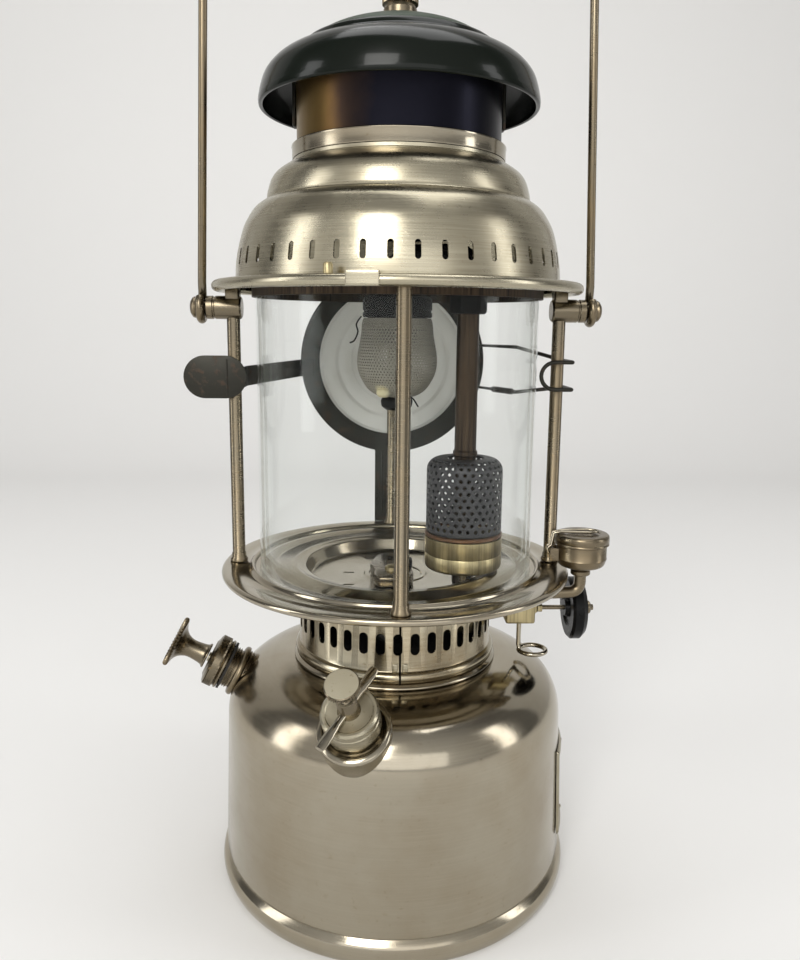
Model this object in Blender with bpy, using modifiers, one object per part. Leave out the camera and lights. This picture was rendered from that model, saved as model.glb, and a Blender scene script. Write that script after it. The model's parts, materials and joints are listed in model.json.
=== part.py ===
"""Kerosene pressure lantern with a side preheater, a reflector and a wire bail.

Metres, +Z up. The origin is on the lantern's axis, on the surface it stands on.
The front is towards -Y, the pump is at -X and the hand wheel at +X.
"""
import math

import bmesh
import bpy
from mathutils import Matrix, Vector

# Clearances and mesh fineness
TOUCH_GAP = 0.0003
CUT_OVERRUN = 0.004
WIDE_STEPS = 32
MID_STEPS = 16
SMALL_STEPS = 12
PIN_STEPS = 8
WIRE_ROUNDNESS = 1
BEND_STEPS = 4
ROLL_STEPS = 4
WELD_DISTANCE = 0.000001

# Tank
TANK_WALL_RADIUS = 0.080
TANK_FLARE = 0.0021
TANK_FOOT_RADIUS = TANK_WALL_RADIUS + TANK_FLARE
TANK_BEAD_STANDOFF = 0.0019
TANK_BEAD_RADIUS = TANK_FOOT_RADIUS + TANK_BEAD_STANDOFF
TANK_BEAD_HEIGHT = 0.011
TANK_SHOULDER_HEIGHT = 0.077
SHOULDER_RISE = 0.028
TANK_DECK_HEIGHT = TANK_SHOULDER_HEIGHT + SHOULDER_RISE
COLLAR_RADIUS = 0.0448
DECK_MARGIN = 0.0012
TANK_DECK_RADIUS = COLLAR_RADIUS + DECK_MARGIN
TANK_SHEET = 0.0012
SHOULDER_POWER = 2.4
SHOULDER_STEPS = 7
BEAD_OUTLINE_SHARES = ((0.15, 1.0), (0.85, 0.93), (1.0, 0.66), (1.0, 0.3), (0.45, 0.0))

# Badge plate on the tank
BADGE_BEARING = math.radians(82.0)
BADGE_WIDTH = 0.038
BADGE_HEIGHT = 0.042
BADGE_BOTTOM = 0.024
BADGE_THICKNESS = 0.0008

# Collar between the tank and the gallery plate
COLLAR_SHEET = 0.0008
COLLAR_BEAD_STANDOFF = 0.0018
COLLAR_BEAD_RADIUS = COLLAR_RADIUS + COLLAR_BEAD_STANDOFF
COLLAR_BEAD_HEIGHT = 0.0045
COLLAR_SLOT_COUNT = 32
COLLAR_SLOT_WIDTH = 0.0042
COLLAR_SLOT_HEIGHT = 0.0096
COLLAR_SLOT_RISE = 0.0203
COLLAR_SLOT_MIDDLE = TANK_DECK_HEIGHT + COLLAR_SLOT_RISE
COLLAR_SPLIT = 0.0009
COLLAR_SPLIT_BEARING = math.radians(1.3)
SEAT_RING_LEDGE = 0.0032
SEAT_RING_RADIUS = COLLAR_RADIUS + SEAT_RING_LEDGE
SEAT_RING_WIDTH = 0.0120
SEAT_RING_BORE = SEAT_RING_RADIUS - SEAT_RING_WIDTH
SEAT_RING_HEIGHT = 0.0022

# Gallery plate
GLASS_RADIUS = 0.0636
POST_STANDOFF = 0.0107
POST_CIRCLE = GLASS_RADIUS + POST_STANDOFF
COLLAR_HEIGHT = 0.0445
PLATE_TOP = TANK_DECK_HEIGHT + COLLAR_HEIGHT
PLATE_MARGIN = 0.0072
PLATE_RADIUS = POST_CIRCLE + PLATE_MARGIN
PLATE_ROLL_RADIUS = 0.0016
PLATE_SHEET = 0.0009
SEAT_BEAD_STANDOFF = 0.0036
SEAT_BEAD_RADIUS = GLASS_RADIUS + SEAT_BEAD_STANDOFF
SEAT_BEAD_WIDTH = 0.0030
SEAT_BEAD_RISE = 0.0018
RECESS_INSET = 0.0026
RECESS_RADIUS = COLLAR_RADIUS - RECESS_INSET
RECESS_LEDGE = 0.0016
RECESS_DEPTH = 0.0060
FLOOR_SLOT_LENGTH = 0.0050
FLOOR_SLOT_WIDTH = 0.0018
FLOOR_SLOT_PLACE_SHARES = ((-0.55, 0.02), (-0.54, -0.44), (-0.3, 0.62))

# Posts
POST_RADIUS = 0.00295
POST_FOOT_RADIUS = 0.0041
POST_FOOT_HEIGHT = 0.0012
POST_BEARINGS = (("post_front", 0.0), ("post_right", 90.0), ("post_back", 180.0), ("post_left", 270.0))

# Upper ring
CHAMBER_HEIGHT = 0.1298
RING_TOP = PLATE_TOP + CHAMBER_HEIGHT
RING_MARGIN = 0.0082
RING_RADIUS = POST_CIRCLE + RING_MARGIN
RING_ROLL_RADIUS = 0.0023
RING_SHEET = 0.0010
RING_SKIRT_GAP = 0.0008
RING_SKIRT_DEPTH = 0.0068
CATCH_START = math.radians(-14.9)
CATCH_END = math.radians(-6.4)
CATCH_SHEET = 0.0009
CATCH_LIP = 0.0050
PIN_STUD_RADIUS = 0.0018
PIN_STUD_HEIGHT = 0.0042
PIN_STUD_BEARING = math.radians(-20.6)
PIN_STUD_INSET = 0.0035
PIN_STUD_CIRCLE = RING_RADIUS - PIN_STUD_INSET

# Bail and its ears
BAIL_DROP = 0.0113
BAIL_HEIGHT = RING_TOP - BAIL_DROP
EAR_RADIUS = 0.0052
EAR_SETBACK = 0.0040
EAR_LENGTH = 0.0159
EAR_INNER = POST_CIRCLE - EAR_SETBACK
EAR_OUTER = EAR_INNER + EAR_LENGTH
EAR_SADDLE_WIDTH = 0.0070
EAR_SADDLE_LENGTH = 0.0062
BAIL_WIRE_RADIUS = 0.0019
BAIL_PIN_RADIUS = 0.0030
BAIL_PIN_DEPTH = 0.0080
BAIL_HEAD_RADIUS = 0.0048
BAIL_HEAD_THICKNESS = 0.0026
BAIL_EYE_GAP = 0.0005
BAIL_ARM_LENGTH = 0.132
BAIL_DRAW_IN = 0.0024
BAIL_ARCH_HALF_WIDTH = EAR_OUTER - BAIL_DRAW_IN
BAIL_ARCH_RISE = 0.080
BAIL_ARCH_STEPS = 16
BAIL_EYE_STEPS = 10
BAIL_EYE_START = math.radians(130.0)
BAIL_EYE_SWEEP = math.radians(290.0)

# Glass
GLASS_WALL = 0.0015
GLASS_TOP_GAP = 0.0012

# Hood
CHIMNEY_RADIUS = 0.0447
HOOD_MARGIN = 0.0084
HOOD_FOOT_RADIUS = GLASS_RADIUS + HOOD_MARGIN
NECK_GAP = 0.0018
HOOD_NECK_RADIUS = CHIMNEY_RADIUS + NECK_GAP
HOOD_HEIGHT = 0.0512
HOOD_SHEET = 0.0009
HOOD_OUTLINE_SHARES = (
    (1.0, 0.0), (1.0, 0.04), (0.940, 0.27), (0.863, 0.415), (0.745, 0.53), (0.498, 0.655),
    (0.420, 0.665), (0.430, 0.70), (0.350, 0.82), (0.0, 1.0))
HOOD_SLOT_COUNT = 44
HOOD_SLOT_WIDTH = 0.0020
HOOD_SLOT_HEIGHT = 0.0074
HOOD_SLOT_RISE = 0.0090
BAND_WIDTH = 0.0023
BAND_RADIUS = CHIMNEY_RADIUS + BAND_WIDTH
BAND_HEIGHT = 0.0060
CHIMNEY_SHEET = 0.0008
CHIMNEY_RISE = 0.0227
CHIMNEY_LENGTH = 0.060
CHIMNEY_BOTTOM = RING_TOP + CHIMNEY_RISE
CHIMNEY_TOP = CHIMNEY_BOTTOM + CHIMNEY_LENGTH

# Cap over the chimney
CAP_OVERHANG = 0.0164
CAP_RADIUS = CHIMNEY_RADIUS + CAP_OVERHANG
CAP_LAP = 0.0093
CAP_RIM_HEIGHT = CHIMNEY_TOP - CAP_LAP
CAP_RISE = 0.0385
CAP_SHEET = 0.0012
CAP_OUTLINE_SHARES = (
    (0.16, 0.997), (0.42, 0.95), (0.675, 0.775), (0.710, 0.655), (0.77, 0.635), (0.880, 0.44),
    (0.955, 0.27), (0.995, 0.10), (0.998, 0.0))
BRIDGE_WIDTH = 0.0060
BRIDGE_THICKNESS = 0.0014
BRIDGE_LEG_LAP = 0.0165
BRIDGE_LEG_BOTTOM = CHIMNEY_TOP - BRIDGE_LEG_LAP
BRIDGE_RISE = 0.0080
BRIDGE_BAR_HEIGHT = CHIMNEY_TOP + BRIDGE_RISE
STUD_RADIUS = 0.0025
STUD_SHOULDER_RADIUS = 0.0050
CAP_NUT_RADIUS = 0.0078
CAP_NUT_HEIGHT = 0.0130
CAP_NUT_BORE_DEPTH = 0.0090

# Burner and mantle
BURNER_RADIUS = 0.0158
BURNER_DROP = 0.0150
BURNER_BOTTOM = RING_TOP - BURNER_DROP
BURNER_HEIGHT = 0.0190
BURNER_SPIGOT_RADIUS = 0.0136
BURNER_SPIGOT_HEIGHT = 0.0060
BURNER_THROAT_RADIUS = 0.0060
NOZZLE_RADIUS = 0.0092
NOZZLE_BORE = 0.0050
NOZZLE_HEIGHT = 0.0060
MANTLE_RADIUS = 0.01835
MANTLE_HEIGHT = 0.0355
MANTLE_WALL = 0.0009
MANTLE_OUTLINE_SHARES = (
    (0.80, 1.0), (0.87, 0.80), (0.98, 0.60), (1.0, 0.43), (0.90, 0.23), (0.68, 0.09), (0.42, 0.0))
PLUG_RADIUS = 0.0074
PLUG_HEIGHT = 0.0062

# Vaporiser, preheater and spirit cup
PREHEATER_X = 0.0311
PREHEATER_Y = -0.0112
VAPORISER_RADIUS = 0.00495
VAPORISER_BORE = 0.0016
VAPORISER_DROP = 0.0073
VAPORISER_TOP = RING_TOP - VAPORISER_DROP
NEEDLE_RADIUS = 0.0009
NEEDLE_SUNK = 0.0095
NEEDLE_BOTTOM = PLATE_TOP - NEEDLE_SUNK
UNION_RADIUS = 0.0084
UNION_LAP = 0.0060
UNION_BOTTOM = VAPORISER_TOP - UNION_LAP
NEEDLE_TOP = UNION_BOTTOM
UNION_HEIGHT = 0.0100
MIXING_TUBE_RADIUS = 0.0046
MIXING_TUBE_RISE = 0.0200
MIXING_TUBE_HEIGHT = VAPORISER_TOP + MIXING_TUBE_RISE
MIXING_BEND = 0.0070
PREHEATER_CUP_RADIUS = 0.01775
PREHEATER_CUP_SHEET = 0.0008
PREHEATER_CUP_LIFT = 0.0008
PREHEATER_CUP_BOTTOM = PLATE_TOP + PREHEATER_CUP_LIFT
PREHEATER_CUP_HEIGHT = 0.0150
BAND_RING_INSET = 0.00015
BAND_RING_RADIUS = PREHEATER_CUP_RADIUS - BAND_RING_INSET
BAND_RING_WIDTH = 0.0012
BAND_RING_HEIGHT = 0.0018
SCREEN_INSET = 0.0002
SCREEN_RADIUS = BAND_RING_RADIUS - SCREEN_INSET
SCREEN_SHEET = 0.0007
SCREEN_HEIGHT = 0.0340
SCREEN_SHOULDER = 0.0055
SCREEN_MOUTH_RADIUS = 0.0088
SPIRIT_CUP_STANDOFF = 0.0112
SPIRIT_CUP_X = POST_CIRCLE + SPIRIT_CUP_STANDOFF
SPIRIT_CUP_Y = -0.0162
SPIRIT_CUP_LIFT = 0.0025
SPIRIT_CUP_BOTTOM = PLATE_TOP + SPIRIT_CUP_LIFT
SPIRIT_CUP_RADIUS = 0.0114
SPIRIT_CUP_HEIGHT = 0.0125
SPIRIT_CUP_SHEET = 0.0008
SPIRIT_PIPE_RADIUS = 0.00275
SPIRIT_PIPE_BEND = 0.0060
SPIRIT_PIPE_RISE_BEND = 0.0032
SPIRIT_PIPE_OFFSET = 0.0105
LID_MARGIN = 0.0010
LID_RADIUS = SPIRIT_CUP_RADIUS + LID_MARGIN
LID_THICKNESS = 0.0011
LID_SKIRT = 0.0042
LID_HINGE_REACH = 0.0018
LID_PIN_RADIUS = 0.0010
LID_PIN_LENGTH = 0.0072
LID_WIRE_RADIUS = 0.0006
LID_LUG_THICKNESS = 0.0012

# Valve gear
SPINDLE_DROP = 0.0235
SPINDLE_HEIGHT = PLATE_TOP - SPINDLE_DROP
SPINDLE_RADIUS = 0.0011
VALVE_BODY_LENGTH = 0.0160
VALVE_BODY_WIDTH = 0.0220
VALVE_BODY_DROP = 0.0070
VALVE_BODY_BOTTOM = SPINDLE_HEIGHT - VALVE_BODY_DROP
VALVE_BODY_HEIGHT = 0.0150
RISER_RADIUS = 0.0040
RISER_BOTTOM = 0.0200
RISER_BEND = 0.0100
GLAND_RADIUS = 0.0090
GLAND_HEIGHT = 0.0060
BLOCK_STANDOFF = 0.0072
BLOCK_INNER = COLLAR_RADIUS + BLOCK_STANDOFF
BLOCK_LENGTH = 0.0140
BLOCK_OUTER = BLOCK_INNER + BLOCK_LENGTH
BLOCK_FRONT = -0.0132
BLOCK_BACK = 0.0060
BLOCK_DROP = 0.0037
BLOCK_BOTTOM = SPINDLE_HEIGHT - BLOCK_DROP
BLOCK_HEIGHT = 0.0089
BLOCK_TOP = BLOCK_BOTTOM + BLOCK_HEIGHT
BLOCK_BOSS_RADIUS = 0.0034
WHEEL_RADIUS = 0.0150
WHEEL_WIDTH = 0.0111
WHEEL_STANDOFF = 0.0165
WHEEL_INNER = BLOCK_OUTER + WHEEL_STANDOFF
WHEEL_BEVEL = 0.0014
WHEEL_NUT_RADIUS = 0.0032
WHEEL_NUT_LENGTH = 0.0028
KEY_INSET = 0.0070
KEY_X = BLOCK_INNER + KEY_INSET
KEY_Y = -0.0095
KEY_WIRE_RADIUS = 0.0011
KEY_DROP = 0.0145
KEY_RING_HEIGHT = BLOCK_BOTTOM - KEY_DROP
KEY_RING_RADIUS = 0.0066
KEY_INSERT = 0.0040
KEY_RING_SWEEP = math.radians(320.0)
KEY_RING_STEPS = 16
BRACKET_LENGTH = 0.0420
BRACKET_WIDTH = 0.0200
BRACKET_HEIGHT = 0.0048
BRACKET_Y = -0.0030
BRACKET_SLOT_WIDTH = 0.0030
BRACKET_SLOT_LENGTH = 0.0080
BRACKET_OUTLINE_SHARES = (
    (-0.30, -0.5), (0.36, -0.5), (0.5, -0.30), (0.5, 0.22), (0.28, 0.5), (-0.26, 0.5), (-0.42, 0.26),
    (-0.5, 0.05), (-0.40, -0.16), (-0.42, -0.36))

# Air pump, along an axis that rises outwards from the shoulder
PUMP_ANGLE = math.radians(27.0)
PUMP_ENTRY_INSET = 0.0046
PUMP_ENTRY_RADIUS = TANK_WALL_RADIUS - PUMP_ENTRY_INSET
PUMP_ENTRY_DROP = 0.0111
PUMP_ENTRY_HEIGHT = TANK_DECK_HEIGHT - PUMP_ENTRY_DROP
BARREL_RADIUS = 0.0100
BARREL_WALL = 0.0012
BARREL_INSIDE = 0.0660
BARREL_OUTSIDE = 0.0135
PUMP_BOSS_WALL = 0.0024
PUMP_BOSS_RADIUS = BARREL_RADIUS + PUMP_BOSS_WALL
PUMP_BOSS_BELOW = 0.0040
PUMP_BOSS_ABOVE = 0.0034
PUMP_CAP_WALL = 0.0024
PUMP_CAP_RADIUS = BARREL_RADIUS + PUMP_CAP_WALL
PUMP_CAP_LENGTH = 0.0085
PUMP_CAP_END = 0.0022
PUMP_CAP_STEP = 0.0016
ROD_RADIUS = 0.0023
PISTON_LENGTH = 0.0060
PISTON_DEPTH = 0.0540
KNOB_RADIUS = 0.0123
KNOB_NECK_RADIUS = 0.0046
KNOB_REACH = 0.0352
KNOB_THICKNESS = 0.0028
KNOB_CLEARANCE = 0.0012
VALVE_PLUG_RADIUS = 0.0050
VALVE_PLUG_LENGTH = 0.0070

# Filler, along an axis that leans outwards from the shoulder
FILLER_BEARING = math.radians(-14.5)
FILLER_ANGLE = math.radians(57.0)
FILLER_INSET = 0.0083
FILLER_CIRCLE = TANK_WALL_RADIUS - FILLER_INSET
FILLER_DROP = 0.0072
FILLER_HEIGHT = TANK_DECK_HEIGHT - FILLER_DROP
FILLER_TUBE_RADIUS = 0.0100
FLANGE_MARGIN = 0.0052
FLANGE_RADIUS = FILLER_TUBE_RADIUS + FLANGE_MARGIN
FLANGE_RISE = 0.0030
FLANGE_DEPTH = 0.0080
FILLER_TUBE_WALL = 0.0020
FILLER_BORE = FILLER_TUBE_RADIUS - FILLER_TUBE_WALL
FILLER_TUBE_RISE = 0.0070
GASKET_THICKNESS = 0.0012
FILLER_CAP_MARGIN = 0.00185
FILLER_CAP_RADIUS = FILLER_TUBE_RADIUS + FILLER_CAP_MARGIN
FILLER_CAP_TOP = 0.0160
FILLER_CAP_SKIRT = 0.0100
FILLER_HUB_RADIUS = 0.0048
FILLER_HUB_HEIGHT = 0.0092
BAR_RADIUS = 0.0016
BAR_LENGTH = 0.0420
BAR_RISE = 0.0040
BAR_TURN = math.radians(61.0)
VENT_HEAD_RADIUS = 0.0071
VENT_HEAD_THICKNESS = 0.0037
VENT_TOP = 0.0350
VENT_STEM_RADIUS = 0.0027
VENT_BORE_DEPTH = 0.0026

# Reflector behind the glass
REFLECTOR_DROP = 0.0383
REFLECTOR_HEIGHT = RING_TOP - REFLECTOR_DROP
REFLECTOR_STANDOFF = 0.0053
REFLECTOR_FACE = POST_CIRCLE + REFLECTOR_STANDOFF
REFLECTOR_RING_RADIUS = 0.0508
REFLECTOR_RING_WIDTH = 0.0103
REFLECTOR_RING_BORE = REFLECTOR_RING_RADIUS - REFLECTOR_RING_WIDTH
REFLECTOR_SHEET = 0.0010
REFLECTOR_DISC_LAP = 0.0030
REFLECTOR_DISC_RADIUS = REFLECTOR_RING_BORE + REFLECTOR_DISC_LAP
REFLECTOR_DISH = 0.0026
REFLECTOR_STEP_SHARES = ((0.93, 0.0), (0.90, 0.4), (0.72, 0.4), (0.70, 0.75), (0.52, 0.75), (0.50, 1.0))
LEG_WIDTH = 0.0190
ARM_HEIGHT = 0.0092
ARM_SHEET = 0.0010
ARM_DROP = 0.0040
ARM_OVERLAP = 0.0070
ARM_POST_GAP = 0.0012
TAB_LENGTH = 0.0284
TAB_HEIGHT = 0.0193
TAB_LAP = 0.0061
TAB_INNER = POST_CIRCLE - TAB_LAP
CLIP_WIRE_RADIUS = 0.00095
CLIP_INSET = 0.0043
CLIP_X = REFLECTOR_RING_RADIUS - CLIP_INSET
CLIP_HALF_HEIGHT = 0.0115
CLIP_DROP = 0.0022
CLIP_HOOK_HALF_HEIGHT = 0.0062
CLIP_HOOK_STANDOFF = 0.0083
CLIP_HOOK_REACH = 0.0090
CLIP_HOOK_OUTER = 0.0053
KNUCKLE_RADIUS = 0.0019
KNUCKLE_HEIGHT = 0.0130
KNUCKLE_LAP = 0.0003

FINISHES = {
    "satin_nickel": ((0.60, 0.57, 0.50), 0.32, 1.0),
    "polished_nickel": ((0.66, 0.62, 0.56), 0.18, 1.0),
    "aged_nickel": ((0.33, 0.29, 0.23), 0.38, 1.0),
    "brass": ((0.52, 0.40, 0.19), 0.38, 1.0),
    "copper": ((0.38, 0.20, 0.12), 0.45, 1.0),
    "heat_blued": ((0.09, 0.07, 0.06), 0.35, 0.9),
    "dark_steel": ((0.11, 0.11, 0.105), 0.45, 0.8),
    "enamel_cap": ((0.012, 0.020, 0.014), 0.10, 0.0),
    "enamel_white": ((0.78, 0.76, 0.70), 0.25, 0.0),
    "glass": ((0.93, 0.95, 0.94), 0.05, 0.0),
    "bakelite": ((0.012, 0.012, 0.013), 0.28, 0.0),
    "burner_black": ((0.02, 0.02, 0.022), 0.55, 0.3),
    "mantle": ((0.48, 0.45, 0.36), 0.95, 0.0),
    "seal": ((0.03, 0.028, 0.025), 0.85, 0.0),
    "leather": ((0.16, 0.09, 0.05), 0.75, 0.0),
}


# Scene helpers

def clear_scene():
    for obj in list(bpy.data.objects):
        bpy.data.objects.remove(obj, do_unlink=True)


def new_collection(name):
    group = bpy.data.collections.new(name)
    bpy.context.scene.collection.children.link(group)
    return group


def new_finish(name):
    color, roughness, metallic = FINISHES[name]
    finish = bpy.data.materials.new(name)
    finish.use_nodes = True
    shader = finish.node_tree.nodes["Principled BSDF"]
    shader.inputs["Base Color"].default_value = (*color, 1.0)
    shader.inputs["Roughness"].default_value = roughness
    shader.inputs["Metallic"].default_value = metallic
    finish.diffuse_color = (*color, 1.0)
    return finish


def add_object(name, data, finish, parent=None, at=(0.0, 0.0, 0.0)):
    obj = bpy.data.objects.new(name, data)
    PARTS.objects.link(obj)
    if finish:
        data.materials.append(MATERIALS[finish])
    obj.parent = parent
    obj.location = at
    return obj


def add_cutter(name, bm, parent=None, at=(0.0, 0.0, 0.0)):
    mesh = bpy.data.meshes.new(name)
    bmesh.ops.recalc_face_normals(bm, faces=bm.faces)
    bm.to_mesh(mesh)
    bm.free()
    obj = bpy.data.objects.new(name, mesh)
    CUTTERS.objects.link(obj)
    obj.parent = parent
    obj.location = at
    obj.hide_render = True
    obj.display_type = "WIRE"
    return obj


def add_frame(name, at, direction):
    """An empty whose local Z runs along the direction, with local X level."""
    z = Vector(direction).normalized()
    x = Vector((0.0, 0.0, 1.0)).cross(z)
    if x.length < WELD_DISTANCE:
        x = Vector((1.0, 0.0, 0.0))
    x.normalize()
    y = z.cross(x)
    empty = bpy.data.objects.new(name, None)
    PARTS.objects.link(empty)
    empty.matrix_world = Matrix.Translation(at) @ Matrix((x, y, z)).transposed().to_4x4()
    return empty


def boolean(obj, other, operation):
    step = obj.modifiers.new(operation.lower(), "BOOLEAN")
    step.operation = operation
    step.object = other
    step.solver = "EXACT"


def cut(obj, *cutters):
    for cutter in cutters:
        boolean(obj, cutter, "DIFFERENCE")


def join(obj, *others):
    """Union other shapes into the object; they stay behind as hidden guides."""
    for other in others:
        boolean(obj, other, "UNION")
        PARTS.objects.unlink(other)
        CUTTERS.objects.link(other)
        other.hide_render = True
        other.display_type = "WIRE"


# Shape helpers

def bearing_point(radius, bearing, height=0.0):
    """A point at a bearing from the front, counted towards +X."""
    return Vector((radius * math.sin(bearing), -radius * math.cos(bearing), height))


def arc(cx, cz, radius, start, end, steps):
    """Points of an arc, angles in degrees from +X."""
    points = []
    for k in range(steps + 1):
        angle = math.radians(start + (end - start) * k / steps)
        points.append((cx + radius * math.cos(angle), cz + radius * math.sin(angle)))
    return points


def outline_mesh(name, outline, closed):
    bm = bmesh.new()
    verts = [bm.verts.new((r, 0.0, z)) for r, z in outline]
    for first, second in zip(verts, verts[1:]):
        bm.edges.new((first, second))
    if closed:
        bm.edges.new((verts[-1], verts[0]))
    mesh = bpy.data.meshes.new(name)
    bm.to_mesh(mesh)
    bm.free()
    return mesh


def spin(obj, steps):
    screw = obj.modifiers.new("turn", "SCREW")
    screw.axis = "Z"
    screw.angle = 2.0 * math.pi
    screw.steps = steps
    screw.render_steps = steps
    screw.use_merge_vertices = True
    screw.merge_threshold = WELD_DISTANCE
    screw.use_smooth_shade = True


def turned(name, outline, steps, finish, parent=None, at=(0.0, 0.0, 0.0)):
    """A solid turned about local Z. The outline runs down its outer side and up its inner one."""
    closed = outline[0][0] > 0.0 or outline[-1][0] > 0.0
    obj = add_object(name, outline_mesh(name, outline, closed), finish, parent, at)
    spin(obj, steps)
    return obj


def turned_sheet(name, line, wall, steps, finish, parent=None, at=(0.0, 0.0, 0.0)):
    """A turned sheet: the line is its outer face, and the wall goes inwards."""
    obj = add_object(name, outline_mesh(name, line, False), finish, parent, at)
    spin(obj, steps)
    shell = obj.modifiers.new("wall", "SOLIDIFY")
    shell.thickness = wall
    shell.offset = -1.0
    shell.use_even_offset = True
    return obj


def ring(name, inner, outer, bottom, top, steps, finish, parent=None, at=(0.0, 0.0, 0.0)):
    outline = [(outer, top), (outer, bottom), (inner, bottom), (inner, top)]
    return turned(name, outline, steps, finish, parent, at)


def rod(name, radius, bottom, top, steps, finish, parent=None, at=(0.0, 0.0, 0.0)):
    outline = [(0.0, top), (radius, top), (radius, bottom), (0.0, bottom)]
    return turned(name, outline, steps, finish, parent, at)


def box(name, low, high, finish, bevel=0.0):
    bm = bmesh.new()
    bmesh.ops.create_cube(bm, size=1.0)
    middle = (Vector(low) + Vector(high)) / 2
    size = Vector(high) - Vector(low)
    bmesh.ops.scale(bm, vec=size, verts=bm.verts)
    if bevel:
        bmesh.ops.bevel(bm, geom=bm.edges[:], offset=bevel, segments=1, affect="EDGES")
    mesh = bpy.data.meshes.new(name)
    bm.to_mesh(mesh)
    bm.free()
    return add_object(name, mesh, finish, at=middle)


def box_cutter(name, low, high):
    bm = bmesh.new()
    bmesh.ops.create_cube(bm, size=1.0)
    bmesh.ops.scale(bm, vec=Vector(high) - Vector(low), verts=bm.verts)
    return add_cutter(name, bm, at=(Vector(low) + Vector(high)) / 2)


def add_cylinder(bm, radius, length, steps, matrix):
    """A cylinder about local Z from z = 0 to its length, put in place by the matrix."""
    lift = Matrix.Translation((0.0, 0.0, length / 2))
    bmesh.ops.create_cone(bm, cap_ends=True, segments=steps, radius1=radius, radius2=radius,
                          depth=length, matrix=matrix @ lift)


def rod_cutter(name, radius, bottom, top, steps, parent=None, at=(0.0, 0.0, 0.0)):
    bm = bmesh.new()
    add_cylinder(bm, radius, top - bottom, steps, Matrix.Translation((0.0, 0.0, bottom)))
    return add_cutter(name, bm, parent, at)


def along(start, end):
    """The matrix that takes local Z onto the way from start to end."""
    way = Vector(end) - Vector(start)
    return Matrix.Translation(start) @ way.to_track_quat("Z", "Y").to_matrix().to_4x4()


def line_cutter(name, start, end, radius, steps):
    bm = bmesh.new()
    add_cylinder(bm, radius, (Vector(end) - Vector(start)).length, steps, along(start, end))
    return add_cutter(name, bm)


def slot_cutter(name, count, circle, middle, width, height, depth, sides=8):
    """Upright slots all round a wall, with rounded ends where they have more than four sides."""
    bm = bmesh.new()
    for k in range(count):
        bearing = 2.0 * math.pi * k / count
        slot = bmesh.new()
        turn = Matrix.Rotation(math.pi / sides, 4, "Z")
        radius = width / 2 / math.cos(math.pi / sides)
        bmesh.ops.create_cone(slot, cap_ends=True, segments=sides, radius1=radius, radius2=radius,
                              depth=depth, matrix=turn)
        for vert in slot.verts:
            vert.co.y += math.copysign((height - width) / 2, vert.co.y)
        place = Matrix.Rotation(bearing, 4, "Z") @ Matrix.Translation((0.0, -circle, middle))
        bmesh.ops.transform(slot, matrix=place @ Matrix.Rotation(math.pi / 2, 4, "X"), verts=slot.verts)
        scratch = bpy.data.meshes.new("slot")
        slot.to_mesh(scratch)
        slot.free()
        bm.from_mesh(scratch)
        bpy.data.meshes.remove(scratch)
    return add_cutter(name, bm)


def rounded_path(corners, bends, steps=BEND_STEPS):
    """A path through the corners, each inner corner rounded; bends is one radius or one each."""
    if isinstance(bends, float):
        bends = [bends] * (len(corners) - 2)
    points = [Vector(corners[0])]
    for before, corner, after, bend in zip(corners, corners[1:], corners[2:], bends):
        corner = Vector(corner)
        into = (corner - Vector(before)).normalized()
        out = (Vector(after) - corner).normalized()
        half = into.angle(out) / 2
        if half < 1e-4:
            points.append(corner)
            continue
        reach = bend * math.tan(half)
        axis = into.cross(out).normalized()
        side = axis.cross(into).normalized()
        centre = corner - into * reach + side * bend
        for k in range(steps + 1):
            turn = Matrix.Rotation(2 * half * k / steps, 3, axis)
            points.append(centre + turn @ (-side * bend))
    points.append(Vector(corners[-1]))
    return points


def wire(name, points, radius, finish, cyclic=False, at=(0.0, 0.0, 0.0), roundness=WIRE_ROUNDNESS):
    curve = bpy.data.curves.new(name, "CURVE")
    curve.dimensions = "3D"
    curve.bevel_depth = radius
    curve.bevel_resolution = roundness
    curve.use_fill_caps = True
    curve.twist_mode = "MINIMUM"
    spline = curve.splines.new("POLY")
    spline.points.add(len(points) - 1)
    for slot, point in zip(spline.points, points):
        slot.co = (*(Vector(point) - Vector(at)), 1.0)
    spline.use_cyclic_u = cyclic
    return add_object(name, curve, finish, at=at)


def plate_curve(name, outlines, thickness, finish, matrix):
    """A flat plate from outlines in local XY; the later outlines are its holes."""
    curve = bpy.data.curves.new(name, "CURVE")
    curve.dimensions = "2D"
    curve.fill_mode = "BOTH"
    curve.extrude = thickness / 2
    for outline in outlines:
        spline = curve.splines.new("POLY")
        spline.points.add(len(outline) - 1)
        for slot, (x, y) in zip(spline.points, outline):
            slot.co = (x, y, 0.0, 1.0)
        spline.use_cyclic_u = True
    obj = add_object(name, curve, finish)
    obj.matrix_world = matrix
    return obj


def to_mesh(obj):
    """The same shape as a welded mesh, so that it can be cut or joined."""
    bpy.context.view_layer.update()
    seen = obj.evaluated_get(bpy.context.evaluated_depsgraph_get())
    mesh = bpy.data.meshes.new_from_object(seen)
    bm = bmesh.new()
    bm.from_mesh(mesh)
    bmesh.ops.remove_doubles(bm, verts=bm.verts, dist=WELD_DISTANCE)
    bmesh.ops.recalc_face_normals(bm, faces=bm.faces)
    bm.to_mesh(mesh)
    bm.free()
    name = obj.name
    place = obj.matrix_world.copy()
    bpy.data.objects.remove(obj, do_unlink=True)
    solid = bpy.data.objects.new(name, mesh)
    PARTS.objects.link(solid)
    solid.matrix_world = place
    return solid


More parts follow.
